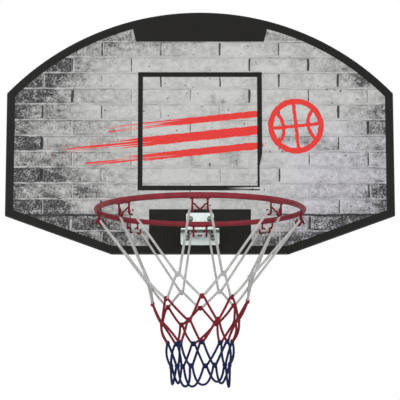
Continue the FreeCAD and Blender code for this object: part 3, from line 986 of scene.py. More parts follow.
@dataclass(frozen=True)
class Bond:
    """Where a place lies in a wall's bond, and what was drawn for its brick and for the joint next to it.

    The shares are of the way up its course and along its brick. The distances are to the nearest joints.
    """

    height: Field
    up_share: Field
    along_share: Field
    to_bed: Field
    to_head: Field
    tone: Field
    dark_end: Field
    joint: Field


@dataclass(frozen=True)
class Growth:
    """A value that grows with the soot, from its base on a clean wall by its gain."""

    base: float
    gain: float

    def at(self, soot: Field) -> Field:
        """Works the value out for an amount of soot."""
        return soot * self.gain + self.base


@dataclass(frozen=True)
class Soot:
    """Soot on the wall: at its sides, foot and crown, along its edge, and from one end of some bricks.

    The amounts add up, and a wall with an amount of 1 is as sooty as it gets.
    """

    left: Span = (-0.10, -0.33)
    right: Span = (0.16, 0.36)
    foot: Span = (-0.06, -0.20)
    foot_sides: Span = (0.08, 0.20)
    crown: Span = (0.10, 0.165)
    edge: Span = (0.075, 0.012)
    least_amount: float = 0.10
    left_amount: float = 0.67
    right_amount: float = 0.23
    foot_amount: float = 0.28
    crown_amount: float = 0.10
    edge_amount: float = 0.26
    left_edge_amount: float = 0.20
    foot_edge_amount: float = 0.36
    cloud: Pattern = Pattern(20.0, 4.0)
    cloud_swing: float = 1.7
    tone_swing: float = 0.7
    end_swing: float = 0.4
    patchiness: Growth = Growth(0.12, 0.75)
    grimy_from: float = 0.86
    grime_cloud: Span = (-0.14, 0.10)
    grime_amount: float = 0.36
    draw_blur: float = 0.01

    def lie(self, finish: Finish, outline: Outline, bond: Bond) -> Field:
        """Works out how sooty a place is.

        Args:
            finish: The printed face.
            outline: The board's outline.
            bond: The place's brick.

        Returns:
            The soot, 0 to 1.
        """
        graph, x, z = finish.graph, finish.x, finish.z
        left = graph.fade(x, *self.left)
        foot = graph.fade(z, *self.foot) * graph.fade(abs(x), *self.foot_sides)
        gloom = left * self.left_amount + foot * self.foot_amount + self.least_amount
        gloom = gloom + graph.fade(x, *self.right) * self.right_amount
        gloom = gloom + graph.fade(z, *self.crown) * self.crown_amount
        along_edge = left * self.left_edge_amount + foot * self.foot_edge_amount + self.edge_amount
        gloom = gloom + graph.fade(outline.inside(x, z), *self.edge) * along_edge
        cloud = finish.waver(self.cloud)
        turned = bond.dark_end.over(0.5, self.draw_blur)
        end = bond.along_share + turned * (1.0 - bond.along_share * 2.0)
        patch = (bond.tone - 0.5) * self.tone_swing + (end - 0.5) * self.end_swing
        patch = patch + cloud * self.cloud_swing
        grimy = bond.dark_end.over(self.grimy_from, self.draw_blur) * graph.fade(cloud, *self.grime_cloud)
        soot = gloom + grimy * self.grime_amount + patch * self.patchiness.at(gloom)
        return soot.high(0.0).low(1.0)


@dataclass(frozen=True)
class Wall:
    """A whitewashed brick wall in running bond, sooty towards its sides and cooler at its lower right."""

    course: float = 0.0294
    brick: float = 0.1086
    joint_x: float = -0.072
    joint_z: float = 0.1649
    bed_waver: Pattern = Pattern(30.0, layer=7.0, swing=0.0034)
    head_waver: Pattern = Pattern(45.0, swing=0.0030)
    soot: Soot = Soot()

    pale: Colour = srgb(204, 205, 202)
    chalk: Colour = srgb(216, 216, 213)
    cool: Colour = srgb(207, 205, 212)
    stain: Colour = srgb(84, 83, 84)
    black: Colour = srgb(34, 34, 35)
    cool_right: Span = (0.08, 0.22)
    cool_low: Span = (0.08, -0.08)

    smear: Pattern = Pattern(75.0, 4.0, layer=13.0, wide=0.45, swing=0.9)
    fleck: Pattern = Pattern(330.0, swing=0.8)
    blotch: Pattern = Pattern(110.0, layer=19.0)
    unevenness: Growth = Growth(0.42, 1.8)
    stain_share: float = 0.86
    worn_edge: Span = (0.0055, 0.0008)
    worn_blotch: Span = (-0.14, 0.10)
    worn_share: float = 0.20
    specks: Pattern = Pattern(130.0, 2.0, layer=23.0)
    speck_limit: float = 0.31
    speck_blur: float = 0.02
    speck_share: float = 0.8
    grit: Pattern = Pattern(300.0, layer=3.0)
    grit_limit: Growth = Growth(0.28, 0.20)
    grit_blur: float = 0.05
    grit_share: Growth = Growth(0.25, 0.8)
    most_grit: float = 0.85

    lime: Pattern = Pattern(60.0, 4.0, layer=17.0)
    lime_span: Span = (0.35, 0.6)
    mortar_half_width: float = 0.0009
    mortar_lime: float = 0.0008
    mortar_blur: float = 0.0008
    mortar_cover: float = 0.4
    mortar_lime_cover: float = 0.5
    mortar_share: Growth = Growth(0.15, 1.0)
    most_mortar: float = 0.75
    crack: Pattern = Pattern(38.0, 5.0, layer=11.0, tall=2.0)
    shadow_drop: float = 0.0017
    shadow_half_width: float = 0.0006
    shadow_blur: float = 0.0007
    shadow_crack: Span = (0.36, 0.58)
    shadow_share: Growth = Growth(0.38, 0.55)
    head_inset: Span = (0.04, 0.14)
    head_gap: Growth = Growth(0.0024, 0.003)
    head_closed: float = 0.3
    head_crack: float = 0.003
    head_blur: float = 0.0006
    head_share: float = 0.92
    lit_place: float = 0.0024
    lit_half_width: float = 0.0008
    lit_blur: float = 0.0007
    lit_from: float = 0.25
    lit_from_blur: float = 0.1
    lit_share: float = 0.6
    deep_bed: float = -0.1585
    deep_half_width: float = 0.0018
    deep_blur: float = 0.0012
    deep_sides: Span = (0.10, 0.17)

    def paint(self, finish: Finish, outline: Outline) -> bpy.types.NodeSocket:
        """Paints the wall.

        Args:
            finish: The printed face.
            outline: The board's outline.

        Returns:
            The socket with the wall's colour.
        """
        bond = self._bond(finish)
        soot = self.soot.lie(finish, outline, bond)
        graph = finish.graph
        chill = graph.fade(finish.x, *self.cool_right) * graph.fade(finish.z, *self.cool_low)
        bricks = self._bricks(finish, bond, soot, graph.mix(chill, self.pale, self.cool))
        return self._joints(finish, bond, soot, bricks, graph.mix(chill, self.chalk, self.cool))

    def _bond(self, finish: Finish) -> Bond:
        """Lays the bricks: every second course is shifted by half a brick, and the joints waver.

        Args:
            finish: The printed face.

        Returns:
            Where a place lies in the bond.
        """
        graph = finish.graph
        height = finish.z + finish.waver(self.bed_waver)
        level = (height - self.joint_z) / self.course
        row = level.floor()
        odd = row - (row * 0.5).floor() * 2.0
        place = (finish.x + finish.waver(self.head_waver) - self.joint_x) / self.brick + (1.0 - odd) * 0.5
        column = place.floor()
        nearest_head = (place + 0.5).floor()
        up = level - row
        along = place - column
        return Bond(
            height=height,
            up_share=up,
            along_share=along,
            to_bed=up.low(1.0 - up) * self.course,
            to_head=along.low(1.0 - along) * self.brick,
            tone=graph.chance(graph.vector(column, row, Draw.TONE.value)),
            dark_end=graph.chance(graph.vector(column, row, Draw.DARK_END.value)),
            joint=graph.chance(graph.vector(nearest_head, row, Draw.JOINT.value)),
        )

    def _bricks(self, finish: Finish, bond: Bond, soot: Field,
                wash: bpy.types.NodeSocket) -> bpy.types.NodeSocket:
        """Paints the bricks: washed, worn at their edges, stained by soot, with specks and grit.

        Args:
            finish: The printed face.
            bond: The place's brick.
            soot: How sooty the place is.
            wash: The wash's colour.

        Returns:
            The socket with the bricks' colour.
        """
        graph = finish.graph
        blotch = finish.waver(self.blotch)
        relief = finish.waver(self.smear) + finish.waver(self.fleck) + blotch
        worn = graph.fade(bond.to_bed.low(bond.to_head), *self.worn_edge)
        worn = worn * graph.fade(blotch, *self.worn_blotch)
        shade = soot * self.stain_share - relief * self.unevenness.at(soot) + worn * self.worn_share
        bricks = graph.mix(shade.high(0.0).low(1.0), wash, self.stain)
        specks = finish.read(self.specks).under(self.speck_limit, self.speck_blur)
        bricks = graph.mix(specks * self.speck_share, bricks, self.black)
        grit = finish.read(self.grit).under(self.grit_limit.at(soot), self.grit_blur)
        return graph.mix(grit * self.grit_share.at(soot).low(self.most_grit), bricks, self.black)

    def _joints(self, finish: Finish, bond: Bond, soot: Field, bricks: bpy.types.NodeSocket,
                mortar: bpy.types.NodeSocket) -> bpy.types.NodeSocket:
        """Paints the joints: limy mortar, a shadow under each bed, open head joints and one deep bed.

        Args:
            finish: The printed face.
            bond: The place's brick.
            soot: How sooty the place is.
            bricks: The bricks' colour.
            mortar: The mortar's colour.

        Returns:
            The socket with the wall's colour.
        """
        graph = finish.graph
        lime = graph.fade(finish.read(self.lime), *self.lime_span)
        width = lime * self.mortar_lime + self.mortar_half_width
        filled = bond.to_bed.low(bond.to_head).under(width, self.mortar_blur)
        cover = lime * self.mortar_lime_cover + self.mortar_cover
        cover = cover * self.mortar_share.at(soot).low(self.most_mortar)
        wall = graph.mix(filled * cover, bricks, mortar)

        crack = finish.read(self.crack)
        under_bed = abs((1.0 - bond.up_share) * self.course - self.shadow_drop)
        shadow = under_bed.under(self.shadow_half_width, self.shadow_blur)
        shadow = shadow * graph.fade(crack, *self.shadow_crack) * self.shadow_share.at(soot)

        inset = graph.fade(bond.up_share.low(1.0 - bond.up_share), *self.head_inset)
        gap = (bond.joint - self.head_closed) * self.head_gap.at(soot) + (crack - 0.5) * self.head_crack
        head = bond.to_head.under(gap, self.head_blur) * inset * self.head_share
        lit = abs(bond.along_share * self.brick - self.lit_place).under(self.lit_half_width, self.lit_blur)
        lit = lit * inset * bond.joint.over(self.lit_from, self.lit_from_blur)
        wall = graph.mix(lit * self.lit_share, wall, self.chalk)

        deep = abs(bond.height - self.deep_bed).under(self.deep_half_width, self.deep_blur)
        deep = deep * graph.fade(abs(finish.x), *self.deep_sides)
        return graph.mix(shadow.high(head).high(deep).low(1.0), wall, self.black)


@dataclass(frozen=True)
class PrintFinish:
    """The print on the board's face: painted brickwork, red paint, a target frame and dark fields."""

    name: str
    outline: Outline
    wall: Wall = Wall()
    red_paint: RedPaint = RedPaint()
    target: TargetFrame = TargetFrame()
    dark_fields: DarkFields = DarkFields()
    paint: Colour = srgb(228, 62, 58)
    ink: Colour = srgb(23, 22, 20)
    roughness: float = 0.42
    roughness_swing: float = 0.1
    gloss: float = 0.12
    film: Mottle = Mottle(25.0, 30.0, 0.00005)

    def build(self, effects: Effects) -> bpy.types.Material:
        """Makes the material.

        Args:
            effects: The shared effects.

        Returns:
            The material.
        """
        finish = Finish(self.name)
        graph = finish.graph
        wall = self.wall.paint(finish, self.outline)
        painted = graph.mix(self.red_paint.mask(finish), wall, self.paint)
        dark = self.target.mask(finish).high(self.dark_fields.mask(finish, self.outline))
        cloud, grain = finish.mottled(effects, self.film)
        finish.set(Base_Color=graph.mix(dark, painted, self.ink))
        finish.set(Roughness=cloud * self.roughness_swing + self.roughness, Specular_IOR_Level=self.gloss)
        finish.set(Normal=graph.bump(grain, self.film.depth))
        return finish.material


# Modelling steps

class Carving(Enum):
    """What a cutter does to a piece, by Blender's name of the operation."""

    TAKE_AWAY = "DIFFERENCE"
    KEEP_INSIDE = "INTERSECT"


class Bench:
    """Modelling steps that several pieces share."""

    @staticmethod
    def pick(piece: bpy.types.Object) -> None:
        """Selects one object and nothing else, and makes it active.

        Args:
            piece: The object.
        """
        bpy.ops.object.select_all(action="DESELECT")
        piece.select_set(True)
        bpy.context.view_layer.objects.active = piece

    @staticmethod
    def turned(name: str, rings: list[tuple[float, float]], sides: int) -> bpy.types.Object:
        """Turns a piece about Z, ring by ring.

        Args:
            name: The piece's name.
            rings: Radius and height of each ring, in order.
            sides: How many sides each ring has.

        Returns:
            The closed piece.
        """
        bpy.ops.object.select_all(action="DESELECT")
        radius, height = rings[0]
        bpy.ops.mesh.primitive_circle_add(vertices=sides, radius=radius, fill_type="NGON",
                                          location=(0, 0, height))
        piece = bpy.context.object
        piece.name = name
        bpy.ops.object.transform_apply(location=True)
        bpy.ops.object.mode_set(mode="EDIT")
        bpy.ops.mesh.select_all(action="SELECT")
        for wider, higher in rings[1:]:
            bpy.ops.mesh.extrude_region_move(TRANSFORM_OT_translate={"value": (0, 0, higher - height)})
            share = wider / radius
            bpy.ops.transform.resize(value=(share, share, 1), center_override=(0, 0, higher))
            radius, height = wider, higher
        bpy.ops.mesh.select_all(action="SELECT")
        bpy.ops.mesh.normals_make_consistent(inside=False)
        bpy.ops.object.mode_set(mode="OBJECT")
        return piece

    @classmethod
    def cut(cls, piece: bpy.types.Object, size: Vector, place: Vector) -> None:
        """Cuts a slot with straight walls into a piece.

        Args:
            piece: The piece.
            size: The slot's full size.
            place: The slot's middle.
        """
        bpy.ops.object.select_all(action="DESELECT")
        bpy.ops.mesh.primitive_cube_add(size=1, location=place, scale=size)
        cls.carve(piece, bpy.context.object, Carving.TAKE_AWAY)

    @classmethod
    def carve(cls, piece: bpy.types.Object, cutter: bpy.types.Object, carving: Carving) -> None:
        """Takes a cutter away from a piece, or keeps only what lies inside the cutter.

        Args:
            piece: The piece.
            cutter: What shapes it, which is then deleted.
            carving: Which of the two it is.
        """
        cls.pick(piece)
        modifier = piece.modifiers.new("carve", "BOOLEAN")
        modifier.operation = carving.value
        modifier.solver = "EXACT"
        modifier.object = cutter
        bpy.ops.object.modifier_apply(modifier=modifier.name)
        bpy.data.objects.remove(cutter)

    @classmethod
    def gathered(cls, name: str, model: bpy.types.Object, places: list[Matrix],
                 crease: float = 35.0) -> bpy.types.Object:
        """Copies a model to several places and joins the copies into one piece.

        Args:
            name: The piece's name.
            model: What is copied, which is then deleted.
            places: Where each copy goes.
            crease: The angle in degrees from which an edge stays sharp.

        Returns:
            The joined piece.
        """
        copies = []
        for number, place in enumerate(places):
            mesh = model.data.copy()
            mesh.transform(place)
            copies.append(bpy.data.objects.new(f"{name}_{number}", mesh))
            bpy.context.scene.collection.objects.link(copies[-1])
        bpy.data.objects.remove(model)
        cls.pick(copies[0])
        for other in copies[1:]:
            other.select_set(True)
        if len(copies) > 1:
            bpy.ops.object.join()
        copies[0].name = name
        bpy.ops.object.shade_smooth_by_angle(angle=math.radians(crease))
        return copies[0]


# Net

def outwards(bearing: float) -> Vector:
    """Points away from the rim's axis at a bearing, which is 0 at the front and grows towards +X."""
    return Vector((math.sin(bearing), -math.cos(bearing), 0.0))


def sideways(bearing: float) -> Vector:
    """Points along the rim at a bearing, the way that bearings grow."""
    return Vector((math.cos(bearing), math.sin(bearing), 0.0))


class CordMesh:
    """Gathers round cords and knots into one mesh, with a map that follows the lay of each cord."""

    UV_NAME = "lay"
    RESOLUTION = 7
    ORDER = 3
    FIRST_NORMAL = Vector((0.31, 0.87, 0.38))
    CREASE = math.radians(60)

    def __init__(self, diameter: float, sides: int = 8) -> None:
        """Starts an empty mesh for cords of one diameter.

        Args:
            diameter: The cords' diameter.
            sides: How many sides a cord has.
        """
        self.radius = diameter / 2
        self.sides = sides
        self.points: list[Vector] = []
        self.faces: list[tuple[int, ...]] = []
        self.lay: list[tuple[tuple[float, float], ...]] = []

    @classmethod
    def along_spline(cls, route: list[Vector]) -> list[Vector]:
        """Reads points along the smooth spline that a route's points control.

        Args:
            route: The control points.

        Returns:
            Points on the spline, from end to end.
        """
        curve = bpy.data.curves.new("route", "CURVE")
        curve.dimensions = "3D"
        curve.resolution_u = cls.RESOLUTION
        spline = curve.splines.new("NURBS")
        spline.points.add(len(route) - 1)
        for point, place in zip(spline.points, route):
            point.co = (*place, 1.0)
        spline.order_u = cls.ORDER
        spline.use_endpoint_u = True
        holder = bpy.data.objects.new("route", curve)
        line = bpy.data.meshes.new_from_object(holder)
        points = [vertex.co.copy() for vertex in line.vertices]
        bpy.data.objects.remove(holder)
        bpy.data.curves.remove(curve)
        bpy.data.meshes.remove(line)
        return points

    def add(self, line: list[Vector], closed: bool = False) -> None:
        """Adds a cord.

        Args:
            line: Points along its middle.
            closed: Whether its end runs into its start.
        """
        first = len(self.points)
        turns = self._rings(line, closed)
        self._skin(first, turns, closed)
        if not closed:
            last = first + (len(line) - 1) * self.sides
            self._cap(first, range(self.sides - 1, -1, -1), turns[0])
            self._cap(last, range(self.sides), turns[-1])

    def _rings(self, line: list[Vector], closed: bool) -> list[float]:
        """Puts a ring of points round each point of a line.

        Args:
            line: Points along the cord's middle.
            closed: Whether its end runs into its start.

        Returns:
            How far along the cord each ring lies, in lengths of its girth.
        """
        count = len(line)
        normal = self.FIRST_NORMAL
        travelled = 0.0
        turns = []
        for step, point in enumerate(line):
            before = line[step - 1] if step or closed else point
            after = line[(step + 1) % count] if step < count - 1 or closed else point
            run = (after - before).normalized()
            normal = (normal - run * normal.dot(run)).normalized()
            other = run.cross(normal)
            if step:
                travelled += (point - line[step - 1]).length
            turns.append(travelled / (2 * math.pi * self.radius))
            for side in range(self.sides):
                angle = 2 * math.pi * side / self.sides
                out = normal * math.cos(angle) + other * math.sin(angle)
                self.points.append(point + out * self.radius)
        return turns

    def _skin(self, first: int, turns: list[float], closed: bool) -> None:
        """Joins the rings of a cord.

        Args:
            first: The number of its first point.
            turns: How far along the cord each ring lies.
            closed: Whether its last ring is joined to its first.
        """
        count = len(turns)
        ends = turns[1:] + [turns[-1] + 1.0]
        for step in range(count if closed else count - 1):
            ring = first + step * self.sides
            following = first + (step + 1) % count * self.sides
            start, end = turns[step], ends[step]
            for side in range(self.sides):
                beside = (side + 1) % self.sides
                self.faces.append((ring + side, ring + beside, following + beside, following + side))
                low, high = side / self.sides, (side + 1) / self.sides
                self.lay.append(((low, start), (high, start), (high, end), (low, end)))

    def _cap(self, ring: int, sides: range, turn: float) -> None:
        """Closes an end of a cord.

        Args:
            ring: The number of the end ring's first point.
            sides: The ring's points, in the order that turns the cap outwards.
            turn: How far along the cord the ring lies.
        """
        self.faces.append(tuple(ring + side for side in sides))
        self.lay.append(tuple((side / self.sides, turn) for side in sides))

    def finish(self, name: str) -> bpy.types.Object:
        """Makes the object.

        Args:
            name: Its name.

        Returns:
            The object, with smooth shading and its lay map.
        """
        mesh = bpy.data.meshes.new(name)
        mesh.from_pydata(self.points, [], self.faces)
        layer = mesh.uv_layers.new(name=self.UV_NAME)
        layer.data.foreach_set("uv", [part for face in self.lay for corner in face for part in corner])
        made = bpy.data.objects.new(name, mesh)
        bpy.context.scene.collection.objects.link(made)
        Bench.pick(made)
        bpy.ops.object.shade_smooth_by_angle(angle=self.CREASE)
        return made


class Band(Enum):
    """The net's three colours, from the hooks down, with the node that each one stands for."""

    WHITE = "net_white"
    RED = "net_red"
    BLUE = "net_blue"


@dataclass(frozen=True)
class Row:
    """A row of knots.

    Its radius is about the rim's axis and its drop is below the rim. Its front hangs higher than its back by
    the rise, a share of the radius. Its knots are turned and drift by shares of a step, and the slack is that
    of the cords below them.
    """

    radius: float
    drop: float
    rise: float
    turn: float
    drift: float
    slack: float


@dataclass(frozen=True)
class Sway:
    """An unevenness that swings from cord to cord: its span, its turn for each cord and its start."""

    span: float
    turn: float
    start: float = 0.0

    def at(self, number: float) -> float:
        """Gives the swing at a cord."""
        return self.span * math.sin(self.turn * number + self.start)


@dataclass
class Net:
    """The knotted net that hangs from the hooks, on the same knots as its solids.

    A loop's seat is where it lies in its hook, and its lead runs straight from there for a few cords. Cords
    bow outwards and sag by shares of their row's slack, each by its own phase. Tail loops differ in width,
    place and height.
    """

    centre: Vector
    hooks: int = HOOK_COUNT
    rows: tuple[Row, ...] = (
        Row(0.089, 0.118, 0.10, 0.00, 0.05, 0.002),
        Row(0.076, 0.149, 0.07, 0.00, 0.06, 0.005),
        Row(0.065, 0.181, 0.02, 0.06, 0.12, 0.006),
        Row(0.052, 0.214, 0.00, 0.16, 0.12, 0.007),
        Row(0.048, 0.251, 0.00, 0.24, 0.13, 0.004),
    )
    wave_share: float = 0.035
    lean_share: float = 0.03
    drift_turn: float = 2.6
    cord: float = 0.0040
    clearance: float = 0.0003
    seat_radius: float = 0.1608
    seat_drop: float = 0.0192
    seat_aside: float = 0.01555
    seat_lift: float = 0.0012
    lead_share: float = 6.0
    bow_step_turn: float = 3.1
    bow_side_turn: float = 1.7
    bow_share: float = 0.3
    sag_share: float = 0.35
    sag_turn: float = 2.3
    tail_radius: float = 0.046
    tail_drop: float = 0.2857
    tail_width_share: float = 0.5
    tail_rise_share: float = 0.03
    tail_width_sway: Sway = Sway(0.4, 2.1, 0.7)
    tail_aside_sway: Sway = Sway(0.004, 3.7)
    tail_radius_sway: Sway = Sway(0.06, 2.9, math.pi / 2)
    knot_size: float = 0.001
    knot_depth_share: float = 1.3
    knot_turn: float = 1.3
    knot_points: int = 36
    pieces: dict[Band, bpy.types.Object] = field(default_factory=dict)

    def around(self, bearing: float, aside: float, radius: float, drop: float) -> Vector:
        """Finds a point by its bearing from the front of the rim.

        Args:
            bearing: The bearing.
            aside: How far it lies beside that bearing.
            radius: Its distance from the rim's axis.
            drop: Its depth below the rim's plane.

        Returns:
            The point in the part's frame.
        """
        level = self.centre - Vector((0.0, 0.0, drop))
        return level + outwards(bearing) * radius + sideways(bearing) * aside

    def bearing(self, row: int, step: int) -> float:
        """Gives a knot's bearing. Rows alternate by half a step, turn more and more, and drift a little.

        Args:
            row: The knot's row, from 1.
            step: Its number in the row.

        Returns:
            The bearing.
        """
        shift = 0.5 if row % 2 == 1 else 0.0
        level = self.rows[row - 1]
        drift = level.drift * math.sin(self.drift_turn * (step % self.hooks) + row)
        return 2 * math.pi / self.hooks * (step + shift + level.turn + drift)

    def knot(self, row: int, step: int) -> Vector:
        """Gives a knot's centre, on a net that hangs unevenly and is pulled up at its front.

        Args:
            row: The knot's row, from 1.
            step: Its number in the row.

        Returns:
            The centre.
        """
        bearing = self.bearing(row, step)
        level = self.rows[row - 1]
        radius = level.radius * (1 + self.wave_share * math.cos(2 * bearing + row))
        rise = self.lean_share * math.sin(bearing) + level.rise * math.cos(bearing)
        return self.around(bearing, 0.0, radius, level.drop - rise * radius)

    def beside_knot(self, row: int, step: int, side: int) -> Vector:
        """Gives the place next to a knot's centre that a cord on one side of it runs to."""
        apart = side * (self.cord + self.clearance) / 2
        return self.knot(row, step) + sideways(self.bearing(row, step)) * apart

    def hook_loops(self) -> list[list[Vector]]:
        """Routes the loops that hang in the hooks and run down to the first row of knots.

        Returns:
            Each loop's route.
        """
        routes = []
        for step in range(self.hooks):
            bearing = 2 * math.pi * step / self.hooks
            route = []
            for side, other in ((-1, step - 1), (1, step)):
                knot = self.beside_knot(1, other, -side)
                corner = self.around(bearing, side * self.seat_aside, self.seat_radius, self.seat_drop)
                near = corner + (knot - corner).normalized() * self.lead_share * self.cord
                over = self.around(bearing, side * (self.seat_aside - self.cord), self.seat_radius,
                                   self.seat_drop - self.seat_lift)
                half = [knot, near, corner, over]
                route += half if side < 0 else half[::-1]
            routes.append(route)
        return routes

    def strands(self, row: int) -> list[list[Vector]]:
        """Routes the two cords from each knot of a row to the next row, bowed by their slack.

        Args:
            row: The upper row, from 1.

        Returns:
            Each cord's route.
        """
        slack = self.rows[row - 1].slack
        routes = []
        for step in range(self.hooks):
            left = step if row % 2 == 1 else step - 1
            for side, other in ((-1, left), (1, left + 1)):
                start = self.beside_knot(row, step, side)
                end = self.beside_knot(row + 1, other, -side)
                bearing = (self.bearing(row, step) + self.bearing(row + 1, other)) / 2
                phase = self.bow_step_turn * step + self.bow_side_turn * side + row
                bow = outwards(bearing) * slack * (self.bow_share + math.sin(phase))
                sag = self.sag_share * slack * (1 + math.cos(self.sag_turn * phase))
                routes.append([start, (start + end) / 2 + bow - Vector((0.0, 0.0, sag)), end])
        return routes

    def tails(self) -> list[list[Vector]]:
        """Routes the loops that hang from the last row of knots, not all of them as low or as wide.

        Returns:
            Each loop's route.
        """
        last = len(self.rows)
        width = math.pi / self.hooks * self.tail_width_share
        routes = []
        for step in range(self.hooks):
            bearing = (self.bearing(last, step - 1) + self.bearing(last, step)) / 2
            rise = self.tail_rise_share * (1 + math.sin(self.drift_turn * step)) / 2
            drop = self.tail_drop * (1 - rise)
            half = width * (1 + self.tail_width_sway.at(step))
            aside = self.tail_aside_sway.at(step)
            radius = self.tail_radius * (1 + self.tail_radius_sway.at(step))
            left = self.around(bearing - half, aside, radius, drop)
            right = self.around(bearing + half, aside, radius, drop)
            start = self.beside_knot(last, step - 1, 1)
            end = self.beside_knot(last, step, -1)
            routes.append([start, left, right, end])
        return routes

    def knot_line(self, row: int, step: int) -> list[Vector]:
        """Traces a pulled-tight overhand knot.

        Args:
            row: The knot's row.
            step: Its number in the row.

        Returns:
            The closed line of the knot's cord.
        """
        bearing = self.bearing(row, step)
        up = Vector((0.0, 0.0, 1.0))
        centre = self.knot(row, step)
        line = []
        for number in range(self.knot_points):
            angle = 2 * math.pi * number / self.knot_points + self.knot_turn * step
            across = sideways(bearing) * (math.sin(angle) + 2 * math.sin(2 * angle))
            rise = up * (math.cos(angle) - 2 * math.cos(2 * angle))
            depth = outwards(bearing) * -self.knot_depth_share * math.sin(3 * angle)
            line.append(centre + (across + rise + depth) * self.knot_size)
        return line

    def build(self) -> None:
        """Lays the cords and ties the knots of the three bands."""
        plans = {
            Band.WHITE: (self.hook_loops() + self.strands(1), (1,)),
            Band.RED: (self.strands(2) + self.strands(3), (2, 3)),
            Band.BLUE: (self.strands(4) + self.tails(), (4, 5)),
        }
        for band, (routes, rows) in plans.items():
            cords = CordMesh(self.cord)
            for route in routes:
                cords.add(CordMesh.along_spline(route))
            for row in rows:
                for step in range(self.hooks):
                    cords.add(self.knot_line(row, step), closed=True)
            self.pieces[band] = cords.finish(f"{band.value}_cords")

    def hang(self) -> None:
        """Sets the bands in place of their solids and ties the blue band to the body that carries it."""

        for band, piece in self.pieces.items():
            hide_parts(band.value)
        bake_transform(self.pieces[Band.WHITE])
        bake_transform(self.pieces[Band.RED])
        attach(self.pieces[Band.BLUE], "net_bottom")

    def dress(self, effects: Effects) -> None:
        """Gives each band its colour.

        Args:
            effects: The shared effects.
        """
        finishes = {
            Band.WHITE: (CordFinish("white_cord", srgb(219, 218, 215), srgb(150, 149, 147)), "cord_white"),
            Band.RED: (CordFinish("red_cord", srgb(152, 36, 50), srgb(76, 15, 26)), "cord_red"),
            Band.BLUE: (CordFinish("blue_cord", srgb(30, 42, 96), srgb(9, 15, 42)), "cord_blue"),
        }
        for band, (finish, slot) in finishes.items():
            self.pieces[band].data.materials.append(finish.build(effects))


# Bolts, nuts and welds

@dataclass(kw_only=True)
class Fittings(ABC):
    """Small pieces that share one material."""

    pieces: list[bpy.types.Object] = field(default_factory=list)

    @abstractmethod
    def build(self) -> None:
        """Models the pieces and puts them in place of their solids."""

    def dress(self, material: bpy.types.Material) -> None:
        """Gives the pieces their material."""
        for piece in self.pieces:
            piece.data.materials.append(material)


class Heads(Enum):
    """The sets of bolts and screws, by the node that each stands for."""

    UPPER = "upper_plate_bolts"
    LOWER = "lower_plate_bolts"
    CLAMP = "clamp_bolts"
    LEFT_HANGER = "left_hanger_screws"
    RIGHT_HANGER = "right_hanger_screws"


@dataclass(kw_only=True)
class PanHeads(Fittings):
    """Pan heads with a cross recess, on a threaded shank with a narrower tip.

    The thread's root and crest are placed by shares of the pitch, and the dome's rings by shares of the head.
    """

    head_radius: float
    head_height: float
    shank_radius: float
    recess_length: float
    recess_width: float
    recess_depth: float
    pitch: float
    threaded: float
    taper: float
    tip_share: float
    thread_depth: float = 0.0004
    root_place: float = 0.3
    crest_place: float = 0.7
    neck: float = 0.0005
    sides: int = 32
    dome: tuple[tuple[float, float], ...] = (
        (1.0, 0.30), (0.985, 0.45), (0.94, 0.60), (0.85, 0.75), (0.70, 0.88), (0.48, 0.96), (0.24, 0.995),
    )

    def model(self, length: float) -> bpy.types.Object:
        """Models one, with the underside of its head at the origin and its head up.

        Args:
            length: The shank's length.

        Returns:
            The bolt or screw.
        """
        root = self.shank_radius - self.thread_depth
        rings = [(self.tip_share * root, -length)]
        for number in range(round(self.threaded / self.pitch)):
            low = number * self.pitch
            share = min(1.0, self.tip_share + (1.0 - self.tip_share) * (low + self.pitch / 2) / self.taper)
            rings.append((root * share, low + self.root_place * self.pitch - length))
            rings.append((self.shank_radius * share, low + self.crest_place * self.pitch - length))
        rings += [(self.shank_radius, -self.neck), (self.shank_radius, 0.0), (self.head_radius, 0.0)]
        rings += [(self.head_radius * wide, self.head_height * high) for wide, high in self.dome]
        bolt = Bench.turned("bolt", rings, self.sides)
        middle = Vector((0.0, 0.0, self.head_height))
        deep = 2 * self.recess_depth
        Bench.cut(bolt, Vector((self.recess_length, self.recess_width, deep)), middle)
        Bench.cut(bolt, Vector((self.recess_width, self.recess_length, deep)), middle)
        return bolt

    def drive(self, heads: Heads, length: float, places: list[Matrix]) -> None:
        """Puts a set of them in place of its solids.

        Args:
            heads: The set.
            length: The shank's length.
            places: Where each one goes.
        """
        piece = Bench.gathered(f"{heads.value}_turned", self.model(length), places)
        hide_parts(heads.value)
        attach(piece, "board")
        self.pieces.append(piece)


@dataclass(kw_only=True)
class Bolts(PanHeads):
    """The plates' bolts and the bolts that clamp their tongues together, with the turns of their heads."""

    head_radius: float = 0.00525
    head_height: float = 0.0038
    shank_radius: float = 0.003
    recess_length: float = 0.0056
    recess_width: float = 0.0013
    recess_depth: float = 0.0018
    pitch: float = 0.001
    threaded: float = 0.009
    taper: float = 0.0005
    tip_share: float = 0.8
    turns: tuple[tuple[Heads, tuple[float, float]], ...] = (
        (Heads.UPPER, (0.2, 0.9)), (Heads.LOWER, (0.6, 1.2)), (Heads.CLAMP, (0.4, 0.1)),
    )

    def build(self) -> None:
        """Puts a pair of bolts in place of each pair of solids, each head turned its own way."""
        for pair, turns in self.turns:
            low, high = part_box(pair.value)
            middle = (low + high) / 2
            if pair is Heads.CLAMP:
                length = high.z - low.z - self.head_height
                seat = Vector((0.0, middle.y, high.z - self.head_height))
                tilt = Matrix.Identity(4)
            else:
                length = high.y - low.y - self.head_height
                seat = Vector((0.0, low.y + self.head_height, middle.z))
                tilt = Matrix.Rotation(math.pi / 2, 4, "X")
            across = high.x - self.head_radius
            places = []
            for side, turn in zip((-1, 1), turns):
                place = Matrix.Translation(seat + Vector((side * across, 0.0, 0.0)))
                places.append(place @ tilt @ Matrix.Rotation(turn, 4, "Z"))
            self.drive(pair, length, places)


